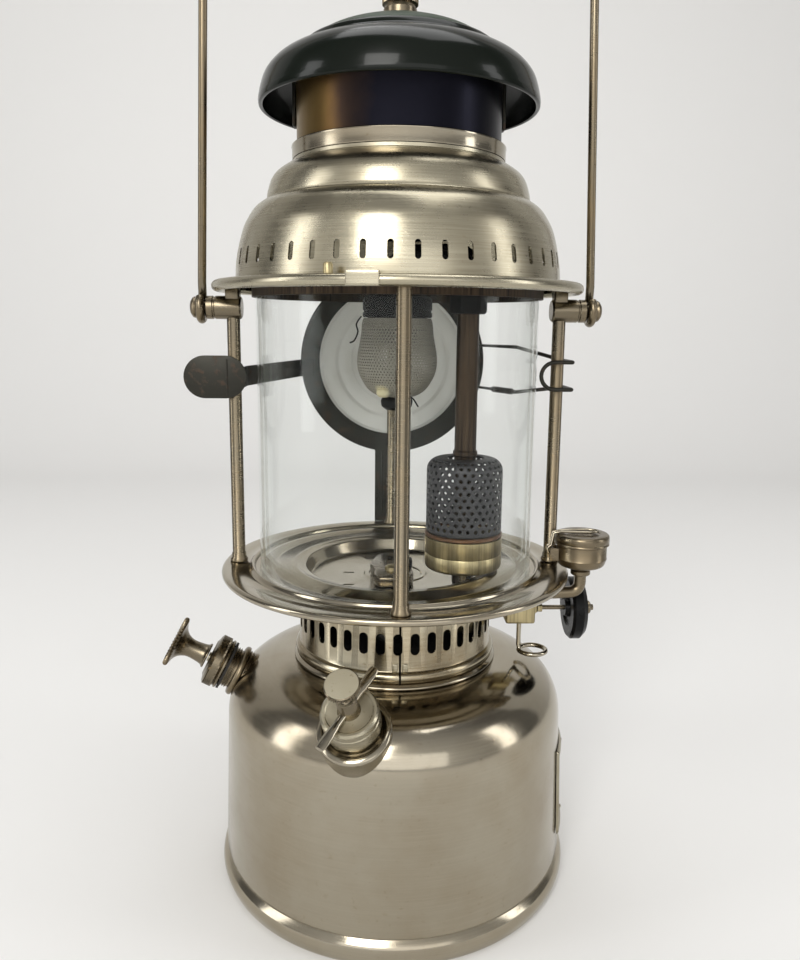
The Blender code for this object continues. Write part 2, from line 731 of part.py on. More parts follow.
def curved_patch(name, inner, outer, start, end, bottom, top, finish, columns=6, rows=1):
    """A patch of wall between two bearings; inner and outer give its radius at a height."""
    bm = bmesh.new()
    bmesh.ops.create_grid(bm, x_segments=columns, y_segments=rows, size=0.5)
    bmesh.ops.translate(bm, vec=(0.0, 0.0, -0.5), verts=bm.verts)
    walls = bmesh.ops.extrude_face_region(bm, geom=bm.faces[:])
    lifted = [item for item in walls["geom"] if isinstance(item, bmesh.types.BMVert)]
    bmesh.ops.translate(bm, vec=(0.0, 0.0, 1.0), verts=lifted)
    for vert in bm.verts:
        bearing = start + (end - start) * (vert.co.x + 0.5)
        height = bottom + (top - bottom) * (vert.co.y + 0.5)
        radius = outer(height) if vert.co.z > 0.0 else inner(height)
        vert.co = bearing_point(radius, bearing, height)
    bmesh.ops.recalc_face_normals(bm, faces=bm.faces)
    mesh = bpy.data.meshes.new(name)
    bm.to_mesh(mesh)
    bm.free()
    return add_object(name, mesh, finish)


# Tank

def wall_radius(height):
    """The tank's wall tapers a little from its foot to its shoulder."""
    share = (height - TANK_BEAD_HEIGHT) / (TANK_SHOULDER_HEIGHT - TANK_BEAD_HEIGHT)
    return TANK_FOOT_RADIUS + (TANK_WALL_RADIUS - TANK_FOOT_RADIUS) * share


def shoulder(inset):
    """The shoulder from the deck's edge down to the wall, drawn in by the inset."""
    points = []
    across = TANK_WALL_RADIUS - inset - TANK_DECK_RADIUS
    rise = TANK_DECK_HEIGHT - inset - TANK_SHOULDER_HEIGHT
    for k in range(SHOULDER_STEPS + 1):
        angle = math.pi / 2 * (1.0 - k / SHOULDER_STEPS)
        r = TANK_DECK_RADIUS + across * max(math.cos(angle), 0.0) ** (2 / SHOULDER_POWER)
        z = TANK_SHOULDER_HEIGHT + rise * math.sin(angle) ** (2 / SHOULDER_POWER)
        points.append((r, z))
    return points


def tank_side(grow):
    """The outer side from the deck's edge to the bottom, moved out by grow."""
    side = shoulder(-grow)
    side.append((TANK_FOOT_RADIUS + grow, TANK_BEAD_HEIGHT + grow))
    for across, up in BEAD_OUTLINE_SHARES:
        r = TANK_FOOT_RADIUS + (TANK_BEAD_RADIUS - TANK_FOOT_RADIUS) * across
        side.append((r + grow, TANK_BEAD_HEIGHT * up))
    return side


def make_tank():
    hole = RISER_RADIUS + TOUCH_GAP
    outline = [(0.0, TANK_SHEET), (TANK_FOOT_RADIUS - TANK_SHEET, TANK_SHEET)]
    outline += reversed(shoulder(TANK_SHEET))
    outline += [(hole, TANK_DECK_HEIGHT - TANK_SHEET), (hole, TANK_DECK_HEIGHT)]
    outline += tank_side(0.0)
    outline.append((0.0, 0.0))
    tank = turned("tank", outline, WIDE_STEPS, "polished_nickel")
    barrel_hole = rod_cutter("barrel_hole", BARREL_RADIUS + TOUCH_GAP, -BARREL_RADIUS * 2,
                             BARREL_RADIUS * 2, MID_STEPS, PUMP)
    filler_hole = rod_cutter("filler_hole", FILLER_TUBE_RADIUS + TOUCH_GAP, -FLANGE_DEPTH * 2,
                             FLANGE_DEPTH, MID_STEPS, FILLER)
    cut(tank, barrel_hole, filler_hole)


def make_tank_seat():
    """The tank's outer form with the touching gap, which cuts what sits on the tank."""
    outline = [(0.0, TANK_DECK_HEIGHT + TOUCH_GAP)] + tank_side(TOUCH_GAP) + [(0.0, 0.0)]
    mesh = outline_mesh("tank_seat", outline, False)
    seat = bpy.data.objects.new("tank_seat", mesh)
    CUTTERS.objects.link(seat)
    seat.hide_render = True
    seat.display_type = "WIRE"
    spin(seat, WIDE_STEPS)
    return seat


def make_badge():
    half = BADGE_WIDTH / 2 / TANK_WALL_RADIUS
    gap = TOUCH_GAP * 2
    curved_patch("badge_plate", lambda z: wall_radius(z) + gap,
                 lambda z: wall_radius(z) + gap + BADGE_THICKNESS,
                 BADGE_BEARING - half, BADGE_BEARING + half, BADGE_BOTTOM,
                 BADGE_BOTTOM + BADGE_HEIGHT, "polished_nickel", columns=8, rows=2)


# Pump, in a frame whose local Z runs out of the tank along the pump's axis

def make_pump():
    boss = ring("pump_boss", BARREL_RADIUS + TOUCH_GAP, PUMP_BOSS_RADIUS, -PUMP_BOSS_BELOW,
                PUMP_BOSS_ABOVE, MID_STEPS, "aged_nickel", PUMP)
    cut(boss, TANK_SEAT)
    ring("pump_barrel", BARREL_RADIUS - BARREL_WALL, BARREL_RADIUS, -BARREL_INSIDE,
         BARREL_OUTSIDE, MID_STEPS, "aged_nickel", PUMP)
    cap_top = BARREL_OUTSIDE + TOUCH_GAP + PUMP_CAP_END
    cap_bottom = cap_top - PUMP_CAP_LENGTH
    bore = ROD_RADIUS + TOUCH_GAP
    turned("pump_cap", [
        (bore, cap_top), (PUMP_CAP_RADIUS - PUMP_CAP_STEP, cap_top),
        (PUMP_CAP_RADIUS - PUMP_CAP_STEP, cap_top - PUMP_CAP_STEP),
        (PUMP_CAP_RADIUS, cap_top - PUMP_CAP_STEP), (PUMP_CAP_RADIUS, cap_bottom),
        (BARREL_RADIUS + TOUCH_GAP, cap_bottom), (BARREL_RADIUS + TOUCH_GAP, BARREL_OUTSIDE + TOUCH_GAP),
        (bore, BARREL_OUTSIDE + TOUCH_GAP)], MID_STEPS, "aged_nickel", PUMP)
    neck_bottom = cap_top + KNOB_CLEARANCE
    neck = KNOB_REACH - KNOB_THICKNESS - neck_bottom
    waist = neck_bottom + neck / 3
    turned("pump_knob", [
        (0.0, KNOB_REACH), (KNOB_RADIUS, KNOB_REACH), (KNOB_RADIUS, KNOB_REACH - KNOB_THICKNESS),
        (KNOB_NECK_RADIUS + (KNOB_RADIUS - KNOB_NECK_RADIUS) / 4, KNOB_REACH - KNOB_THICKNESS - neck / 4),
        (KNOB_NECK_RADIUS, waist), (KNOB_NECK_RADIUS + BARREL_WALL, neck_bottom),
        (0.0, neck_bottom)], MID_STEPS, "aged_nickel", PUMP)
    rod_bottom = -PISTON_DEPTH + PISTON_LENGTH + TOUCH_GAP
    rod("pump_rod", ROD_RADIUS, rod_bottom, neck_bottom - TOUCH_GAP, PIN_STEPS, "satin_nickel", PUMP)
    rod("pump_piston", BARREL_RADIUS - BARREL_WALL - TOUCH_GAP, -PISTON_DEPTH,
        -PISTON_DEPTH + PISTON_LENGTH, SMALL_STEPS, "leather", PUMP)
    plug_top = -BARREL_INSIDE - TOUCH_GAP
    turned("pump_valve", [
        (0.0, plug_top), (BARREL_RADIUS, plug_top), (BARREL_RADIUS, plug_top - BARREL_WALL),
        (VALVE_PLUG_RADIUS, plug_top - BARREL_WALL * 2),
        (VALVE_PLUG_RADIUS, plug_top - VALVE_PLUG_LENGTH),
        (0.0, plug_top - VALVE_PLUG_LENGTH)], SMALL_STEPS, "brass", PUMP)


# Filler, in a frame whose local Z runs out of the tank

def make_filler():
    neck = turned("filler_neck", [
        (FILLER_TUBE_RADIUS, FILLER_TUBE_RISE), (FILLER_TUBE_RADIUS, FLANGE_RISE),
        (FLANGE_RADIUS - FLANGE_RISE / 2, FLANGE_RISE), (FLANGE_RADIUS, FLANGE_RISE / 2),
        (FLANGE_RADIUS, -FLANGE_DEPTH), (FILLER_BORE, -FLANGE_DEPTH),
        (FILLER_BORE, FILLER_TUBE_RISE)], MID_STEPS, "polished_nickel", FILLER)
    cut(neck, TANK_SEAT)
    gasket_bottom = FILLER_TUBE_RISE + TOUCH_GAP
    gasket_top = gasket_bottom + GASKET_THICKNESS
    ring("filler_gasket", FILLER_BORE, FILLER_TUBE_RADIUS, gasket_bottom, gasket_top,
         SMALL_STEPS, "seal", FILLER)
    inner = FILLER_TUBE_RADIUS + TOUCH_GAP
    hub_top = FILLER_CAP_TOP + FILLER_HUB_HEIGHT
    bore = VENT_STEM_RADIUS + TOUCH_GAP
    bore_bottom = hub_top - VENT_BORE_DEPTH
    rim = TANK_SHEET / 2
    cap_bottom = FILLER_CAP_TOP - FILLER_CAP_SKIRT
    cap = turned("filler_cap", [
        (0.0, bore_bottom), (bore, bore_bottom), (bore, hub_top), (FILLER_HUB_RADIUS, hub_top),
        (FILLER_HUB_RADIUS, FILLER_CAP_TOP), (FILLER_CAP_RADIUS - rim, FILLER_CAP_TOP),
        (FILLER_CAP_RADIUS, FILLER_CAP_TOP - rim), (FILLER_CAP_RADIUS, cap_bottom),
        (inner, cap_bottom), (inner, gasket_top + TOUCH_GAP), (0.0, gasket_top + TOUCH_GAP)],
        MID_STEPS, "satin_nickel", FILLER)
    way = Vector((math.cos(BAR_TURN), math.sin(BAR_TURN), 0.0))
    middle = Vector((0.0, 0.0, FILLER_CAP_TOP + BAR_RISE))
    ends = (middle - way * BAR_LENGTH / 2, middle + way * BAR_LENGTH / 2)
    bar_hole = line_cutter("bar_hole", ends[0], ends[1], BAR_RADIUS + TOUCH_GAP, PIN_STEPS)
    bar_hole.parent = FILLER
    cut(cap, bar_hole)
    bm = bmesh.new()
    add_cylinder(bm, BAR_RADIUS, BAR_LENGTH, PIN_STEPS, along(*ends))
    mesh = bpy.data.meshes.new("filler_bar")
    bm.to_mesh(mesh)
    bm.free()
    add_object("filler_bar", mesh, "polished_nickel", FILLER)
    turned("vent_screw", [
        (0.0, VENT_TOP), (VENT_HEAD_RADIUS, VENT_TOP), (VENT_HEAD_RADIUS, VENT_TOP - VENT_HEAD_THICKNESS),
        (VENT_STEM_RADIUS, VENT_TOP - VENT_HEAD_THICKNESS), (VENT_STEM_RADIUS, bore_bottom + TOUCH_GAP),
        (0.0, bore_bottom + TOUCH_GAP)], SMALL_STEPS, "satin_nickel", FILLER)


# Collar, gallery plate and posts

def spirit_pipe_corners():
    """The pipe drops from the spirit cup, runs under the plate and rises to the preheater cup."""
    floor = PLATE_TOP - RECESS_DEPTH - PLATE_SHEET
    run = floor - SPIRIT_PIPE_RADIUS - TOUCH_GAP * 2
    entry_y = PREHEATER_Y - SPIRIT_PIPE_OFFSET
    return [(SPIRIT_CUP_X, SPIRIT_CUP_Y, SPIRIT_CUP_BOTTOM - TOUCH_GAP), (SPIRIT_CUP_X, SPIRIT_CUP_Y, run),
            (PREHEATER_X, entry_y, run), (PREHEATER_X, entry_y, PREHEATER_CUP_BOTTOM - TOUCH_GAP)]


def make_collar():
    seat_bottom = TANK_DECK_HEIGHT + TOUCH_GAP
    seat_top = seat_bottom + SEAT_RING_HEIGHT
    seat = ring("seat_ring", SEAT_RING_BORE, SEAT_RING_RADIUS, TANK_DECK_HEIGHT, seat_top,
                MID_STEPS, "polished_nickel")
    cut(seat, TANK_SEAT)
    bottom = seat_top + TOUCH_GAP
    top = PLATE_TOP - PLATE_SHEET - TOUCH_GAP
    bulge = COLLAR_BEAD_RADIUS
    line = [(COLLAR_RADIUS, top), (COLLAR_RADIUS, bottom + COLLAR_BEAD_HEIGHT),
            (bulge, bottom + COLLAR_BEAD_HEIGHT * 0.6), (bulge, bottom + COLLAR_BEAD_HEIGHT * 0.3),
            (COLLAR_RADIUS + COLLAR_SHEET, bottom)]
    collar = turned_sheet("collar", line, COLLAR_SHEET, COLLAR_SLOT_COUNT, "satin_nickel")
    collar.rotation_euler.z = math.pi / COLLAR_SLOT_COUNT
    slots = slot_cutter("collar_slots", COLLAR_SLOT_COUNT, COLLAR_RADIUS, COLLAR_SLOT_MIDDLE,
                        COLLAR_SLOT_WIDTH, COLLAR_SLOT_HEIGHT, CUT_OVERRUN * 2)
    start = bearing_point(COLLAR_RADIUS - CUT_OVERRUN, COLLAR_SPLIT_BEARING, bottom - CUT_OVERRUN)
    end = bearing_point(COLLAR_RADIUS + CUT_OVERRUN, COLLAR_SPLIT_BEARING, top + CUT_OVERRUN)
    half = Vector((COLLAR_SPLIT / 2, 0.0, 0.0))
    split = box_cutter("collar_split", (start.x - half.x, end.y, start.z), (start.x + half.x, start.y, end.z))
    run = spirit_pipe_corners()[1:3]
    pipe_hole = line_cutter("collar_pipe_hole", bearing_on_line(run, COLLAR_RADIUS + CUT_OVERRUN),
                            bearing_on_line(run, COLLAR_RADIUS - CUT_OVERRUN),
                            SPIRIT_PIPE_RADIUS + TOUCH_GAP, SMALL_STEPS)
    cut(collar, slots, split, pipe_hole)


def bearing_on_line(run, radius):
    """Where the level run from the first point to the second crosses a circle about the axis."""
    start = Vector(run[0])
    way = (Vector(run[1]) - start).normalized()
    b = start.x * way.x + start.y * way.y
    c = start.x ** 2 + start.y ** 2 - radius ** 2
    return start + way * (-b - math.sqrt(b * b - c))


def make_plate():
    floor = PLATE_TOP - RECESS_DEPTH
    inner = RECESS_RADIUS - RECESS_LEDGE
    bead = SEAT_BEAD_WIDTH / 2
    roll = PLATE_ROLL_RADIUS
    line = [(RISER_RADIUS, floor), (inner, floor), (RECESS_RADIUS, PLATE_TOP - RECESS_DEPTH / 4),
            (RECESS_RADIUS + RECESS_LEDGE / 2, PLATE_TOP), (SEAT_BEAD_RADIUS - bead, PLATE_TOP),
            (SEAT_BEAD_RADIUS - bead / 3, PLATE_TOP + SEAT_BEAD_RISE),
            (SEAT_BEAD_RADIUS + bead / 3, PLATE_TOP + SEAT_BEAD_RISE), (SEAT_BEAD_RADIUS + bead, PLATE_TOP)]
    line += arc(PLATE_RADIUS - roll, PLATE_TOP - roll, roll, 90, -60, ROLL_STEPS)
    plate = turned_sheet("gallery_plate", line, PLATE_SHEET, WIDE_STEPS, "polished_nickel")
    entry = spirit_pipe_corners()[-1]
    bm = bmesh.new()
    low = floor - CUT_OVERRUN
    holes = [(PREHEATER_X, PREHEATER_Y, VAPORISER_RADIUS + TOUCH_GAP, SMALL_STEPS),
             (entry[0], entry[1], SPIRIT_PIPE_RADIUS + TOUCH_GAP, PIN_STEPS)]
    for x, y, radius, steps in holes:
        add_cylinder(bm, radius, CUT_OVERRUN * 2, steps, Matrix.Translation((x, y, low)))
    for across, back in FLOOR_SLOT_PLACE_SHARES:
        place = Matrix.Translation((inner * across, inner * back, floor))
        slot = bmesh.ops.create_cube(bm, size=1.0)["verts"]
        bmesh.ops.scale(bm, vec=(FLOOR_SLOT_LENGTH, FLOOR_SLOT_WIDTH, CUT_OVERRUN), verts=slot)
        bmesh.ops.transform(bm, matrix=place, verts=slot)
    cut(plate, add_cutter("plate_holes", bm))


def make_posts():
    foot = PLATE_TOP + TOUCH_GAP
    for name, bearing in POST_BEARINGS:
        on_ear = name in ("post_left", "post_right")
        top = BAIL_HEIGHT - EAR_RADIUS if on_ear else RING_TOP - RING_SHEET
        outline = [(0.0, top - TOUCH_GAP), (POST_RADIUS, top - TOUCH_GAP),
                   (POST_RADIUS, foot + POST_FOOT_HEIGHT), (POST_FOOT_RADIUS, foot + POST_FOOT_HEIGHT),
                   (POST_FOOT_RADIUS, foot), (0.0, foot)]
        turned(name, outline, SMALL_STEPS, "aged_nickel", at=bearing_point(POST_CIRCLE, math.radians(bearing)))


# Upper ring, catch, ears and bail

def make_upper_ring():
    skirt = GLASS_RADIUS + RING_SKIRT_GAP
    roll = RING_ROLL_RADIUS
    line = [(skirt, RING_TOP - RING_SKIRT_DEPTH), (skirt, RING_TOP - RING_SHEET), (skirt + RING_SHEET, RING_TOP)]
    line += arc(RING_RADIUS - roll, RING_TOP - roll, roll, 90, -75, ROLL_STEPS)
    upper_ring = turned_sheet("upper_ring", line, RING_SHEET, WIDE_STEPS, "satin_nickel")
    inner = RING_RADIUS + TOUCH_GAP
    bottom = RING_TOP - RING_ROLL_RADIUS * 2
    top = RING_TOP + TOUCH_GAP + CATCH_SHEET
    catch = curved_patch("hood_catch", lambda z: inner, lambda z: inner + CATCH_SHEET,
                         CATCH_START, CATCH_END, bottom, top, "satin_nickel", columns=4)
    lip = curved_patch("hood_catch_lip", lambda z: inner - CATCH_LIP, lambda z: inner + CATCH_SHEET / 2,
                       CATCH_START, CATCH_END, RING_TOP + TOUCH_GAP, top, "satin_nickel", columns=4)
    join(catch, lip)
    pin = rod("catch_pin", PIN_STUD_RADIUS, RING_TOP - RING_SHEET / 2, RING_TOP + PIN_STUD_HEIGHT, PIN_STEPS,
              "brass", at=bearing_point(PIN_STUD_CIRCLE, PIN_STUD_BEARING))
    join(upper_ring, pin)


def make_bail():
    for side, name in ((-1, "left"), (1, "right")):
        frame = add_frame(f"bail_frame_{name}", (0.0, 0.0, BAIL_HEIGHT), (side, 0.0, 0.0))
        ear = rod(f"bail_ear_{name}", EAR_RADIUS, EAR_INNER, EAR_OUTER, SMALL_STEPS, "aged_nickel", frame)
        saddle_top = RING_TOP - RING_SHEET - TOUCH_GAP
        middle = side * POST_CIRCLE
        saddle = box(f"bail_saddle_{name}",
                     (middle - EAR_SADDLE_LENGTH / 2, -EAR_SADDLE_WIDTH / 2, BAIL_HEIGHT),
                     (middle + EAR_SADDLE_LENGTH / 2, EAR_SADDLE_WIDTH / 2, saddle_top), "aged_nickel")
        join(ear, saddle)
        cut(ear, rod_cutter(f"bail_bore_{name}", BAIL_PIN_RADIUS + TOUCH_GAP, EAR_OUTER - BAIL_PIN_DEPTH,
                            EAR_OUTER + CUT_OVERRUN, SMALL_STEPS, frame))
        head = EAR_OUTER + (BAIL_WIRE_RADIUS + TOUCH_GAP) * 2
        turned(f"bail_pin_{name}", [
            (0.0, head + BAIL_HEAD_THICKNESS), (BAIL_HEAD_RADIUS, head + BAIL_HEAD_THICKNESS),
            (BAIL_HEAD_RADIUS, head), (BAIL_PIN_RADIUS, head),
            (BAIL_PIN_RADIUS, EAR_OUTER - BAIL_PIN_DEPTH + TOUCH_GAP),
            (0.0, EAR_OUTER - BAIL_PIN_DEPTH + TOUCH_GAP)], SMALL_STEPS, "aged_nickel", frame)
    eye = BAIL_PIN_RADIUS + BAIL_EYE_GAP + BAIL_WIRE_RADIUS
    eye_x = EAR_OUTER + TOUCH_GAP + BAIL_WIRE_RADIUS
    arm = []
    for k in range(BAIL_EYE_STEPS + 1):
        angle = BAIL_EYE_START + BAIL_EYE_SWEEP * k / BAIL_EYE_STEPS
        arm.append((eye_x, eye * math.cos(angle), BAIL_HEIGHT + eye * math.sin(angle)))
    arm.append((eye_x - BAIL_WIRE_RADIUS / 4, 0.0, BAIL_HEIGHT + eye + BAIL_WIRE_RADIUS * 3))
    arch_base = BAIL_HEIGHT + BAIL_ARM_LENGTH
    arch = []
    for k in range(BAIL_ARCH_STEPS + 1):
        angle = math.pi * k / BAIL_ARCH_STEPS
        arch.append((BAIL_ARCH_HALF_WIDTH * math.cos(angle), 0.0, arch_base + BAIL_ARCH_RISE * math.sin(angle)))
    left = [(-x, y, z) for x, y, z in reversed(arm)]
    wire("bail", arm + arch + left, BAIL_WIRE_RADIUS, "aged_nickel", at=(0.0, 0.0, BAIL_HEIGHT))


def make_glass():
    ring("glass", GLASS_RADIUS - GLASS_WALL, GLASS_RADIUS, PLATE_TOP + TOUCH_GAP,
         RING_TOP - RING_SHEET - GLASS_TOP_GAP, WIDE_STEPS, "glass")


# Hood, chimney and cap

def make_hood():
    bottom = RING_TOP + TOUCH_GAP
    across = HOOD_FOOT_RADIUS - HOOD_NECK_RADIUS
    line = [(HOOD_NECK_RADIUS + across * r, bottom + HOOD_HEIGHT * z) for r, z in reversed(HOOD_OUTLINE_SHARES)]
    hood = turned_sheet("hood", line, HOOD_SHEET, HOOD_SLOT_COUNT, "satin_nickel")
    slots = slot_cutter("hood_slots", HOOD_SLOT_COUNT, HOOD_FOOT_RADIUS, bottom + HOOD_SLOT_RISE,
                        HOOD_SLOT_WIDTH, HOOD_SLOT_HEIGHT, CUT_OVERRUN * 2, sides=4)
    slots.rotation_euler.z = math.pi / HOOD_SLOT_COUNT
    cut(hood, slots)
    band_bottom = bottom + HOOD_HEIGHT + TOUCH_GAP
    inner = CHIMNEY_RADIUS + TOUCH_GAP
    ring("neck_band", inner, BAND_RADIUS, band_bottom, band_bottom + BAND_HEIGHT, WIDE_STEPS, "polished_nickel")
    ring("chimney", CHIMNEY_RADIUS - CHIMNEY_SHEET, CHIMNEY_RADIUS, CHIMNEY_BOTTOM, CHIMNEY_TOP,
         WIDE_STEPS, "heat_blued")


def make_cap():
    line = [(STUD_RADIUS + TOUCH_GAP, CAP_RIM_HEIGHT + CAP_RISE)]
    line += [(CAP_RADIUS * r, CAP_RIM_HEIGHT + CAP_RISE * z) for r, z in CAP_OUTLINE_SHARES]
    turned_sheet("cap", line, CAP_SHEET, WIDE_STEPS, "enamel_cap")
    leg_inner = CHIMNEY_RADIUS + TOUCH_GAP
    leg_outer = leg_inner + BRIDGE_THICKNESS
    half = BRIDGE_WIDTH / 2
    bar_top = BRIDGE_BAR_HEIGHT + BRIDGE_THICKNESS
    bridge = box("cap_bridge", (-leg_outer, -half, BRIDGE_BAR_HEIGHT), (leg_outer, half, bar_top), "dark_steel")
    legs = []
    for side in (-1, 1):
        low_x, high_x = sorted((side * leg_inner, side * leg_outer))
        legs.append(box(f"bridge_leg_{side}", (low_x, -half, BRIDGE_LEG_BOTTOM), (high_x, half, bar_top),
                        "dark_steel"))
    top = CAP_RIM_HEIGHT + CAP_RISE
    shoulder_top = top - CAP_SHEET - TOUCH_GAP
    nut_bottom = top + TOUCH_GAP
    stud_top = nut_bottom + CAP_NUT_BORE_DEPTH - TOUCH_GAP
    stud = turned("cap_stud", [
        (0.0, stud_top), (STUD_RADIUS, stud_top), (STUD_RADIUS, shoulder_top),
        (STUD_SHOULDER_RADIUS, shoulder_top),
        (STUD_SHOULDER_RADIUS, BRIDGE_BAR_HEIGHT), (0.0, BRIDGE_BAR_HEIGHT)], SMALL_STEPS, "dark_steel")
    join(bridge, *legs, stud)
    bore = STUD_RADIUS + TOUCH_GAP
    edge = CAP_NUT_RADIUS / 8
    turned("cap_nut", [
        (0.0, nut_bottom + CAP_NUT_HEIGHT),
        (CAP_NUT_RADIUS - edge, nut_bottom + CAP_NUT_HEIGHT),
        (CAP_NUT_RADIUS, nut_bottom + CAP_NUT_HEIGHT - edge), (CAP_NUT_RADIUS, nut_bottom + edge * 2),
        (CAP_NUT_RADIUS - edge, nut_bottom + edge), (CAP_NUT_RADIUS - edge, nut_bottom),
        (bore, nut_bottom), (bore, nut_bottom + CAP_NUT_BORE_DEPTH), (0.0, nut_bottom + CAP_NUT_BORE_DEPTH)],
        SMALL_STEPS, "aged_nickel")


# Burner

def make_burner():
    spigot_bottom = BURNER_BOTTOM - BURNER_SPIGOT_HEIGHT
    top = BURNER_BOTTOM + BURNER_HEIGHT
    turned("burner_body", [
        (0.0, top), (BURNER_THROAT_RADIUS, top), (BURNER_THROAT_RADIUS, top - BURNER_HEIGHT / 4),
        (BURNER_RADIUS * 0.8, top - BURNER_HEIGHT * 0.45), (BURNER_RADIUS, top - BURNER_HEIGHT * 0.6),
        (BURNER_RADIUS, BURNER_BOTTOM), (BURNER_SPIGOT_RADIUS, BURNER_BOTTOM),
        (BURNER_SPIGOT_RADIUS, spigot_bottom), (NOZZLE_RADIUS, spigot_bottom),
        (NOZZLE_RADIUS, spigot_bottom - NOZZLE_HEIGHT), (NOZZLE_BORE, spigot_bottom - NOZZLE_HEIGHT),
        (NOZZLE_BORE, spigot_bottom), (0.0, spigot_bottom)], MID_STEPS, "burner_black")
    mantle_top = BURNER_BOTTOM - TOUCH_GAP
    mantle_bottom = mantle_top - MANTLE_HEIGHT
    outer = [(MANTLE_RADIUS * r, mantle_bottom + MANTLE_HEIGHT * z) for r, z in MANTLE_OUTLINE_SHARES]
    base = mantle_bottom + MANTLE_WALL
    inner = [(r - MANTLE_WALL, max(z, base)) for r, z in reversed(outer)]
    turned("mantle", [(0.0, base)] + inner + outer + [(0.0, mantle_bottom)], MID_STEPS, "mantle")
    rod("mantle_plug", PLUG_RADIUS, mantle_bottom - TOUCH_GAP - PLUG_HEIGHT, mantle_bottom - TOUCH_GAP,
        SMALL_STEPS, "burner_black")
    corners = [(PREHEATER_X, PREHEATER_Y, VAPORISER_TOP + TOUCH_GAP),
               (PREHEATER_X, PREHEATER_Y, MIXING_TUBE_HEIGHT), (0.0, 0.0, MIXING_TUBE_HEIGHT),
               (0.0, 0.0, top + TOUCH_GAP)]
    wire("mixing_tube", rounded_path(corners, MIXING_BEND), MIXING_TUBE_RADIUS, "burner_black")


# Vaporiser, preheater and spirit cup

def make_preheater():
    place = (PREHEATER_X, PREHEATER_Y, 0.0)
    body_top = VALVE_BODY_BOTTOM + VALVE_BODY_HEIGHT
    ring("vaporiser_tube", VAPORISER_BORE, VAPORISER_RADIUS, body_top + TOUCH_GAP, VAPORISER_TOP,
         SMALL_STEPS, "heat_blued", at=place)
    rod("cleaning_needle", NEEDLE_RADIUS, NEEDLE_BOTTOM, NEEDLE_TOP, PIN_STEPS, "brass", at=place)
    ring("union_nut", VAPORISER_RADIUS + TOUCH_GAP, UNION_RADIUS, UNION_BOTTOM, UNION_BOTTOM + UNION_HEIGHT,
         SMALL_STEPS, "burner_black", at=place)
    bottom = PREHEATER_CUP_BOTTOM
    top = bottom + PREHEATER_CUP_HEIGHT
    corner = PREHEATER_CUP_SHEET * 3
    bore = VAPORISER_RADIUS + TOUCH_GAP
    turned("preheater_cup", [
        (PREHEATER_CUP_RADIUS, top), (PREHEATER_CUP_RADIUS, bottom + corner),
        (PREHEATER_CUP_RADIUS - corner, bottom), (bore, bottom), (bore, bottom + PREHEATER_CUP_SHEET),
        (PREHEATER_CUP_RADIUS - corner, bottom + PREHEATER_CUP_SHEET),
        (PREHEATER_CUP_RADIUS - PREHEATER_CUP_SHEET, bottom + corner),
        (PREHEATER_CUP_RADIUS - PREHEATER_CUP_SHEET, top)], MID_STEPS, "brass", at=place)
    ring_bottom = top + TOUCH_GAP
    ring("preheater_band", BAND_RING_RADIUS - BAND_RING_WIDTH, BAND_RING_RADIUS, ring_bottom,
         ring_bottom + BAND_RING_HEIGHT, MID_STEPS, "copper", at=place)
    low = ring_bottom + BAND_RING_HEIGHT + TOUCH_GAP
    high = low + SCREEN_HEIGHT
    line = [(SCREEN_MOUTH_RADIUS, high)]
    line += arc(SCREEN_RADIUS - SCREEN_SHOULDER, high - SCREEN_SHOULDER, SCREEN_SHOULDER, 90, 0, ROLL_STEPS)
    line.append((SCREEN_RADIUS, low))
    turned_sheet("preheater_screen", line, SCREEN_SHEET, MID_STEPS, "dark_steel", at=place)


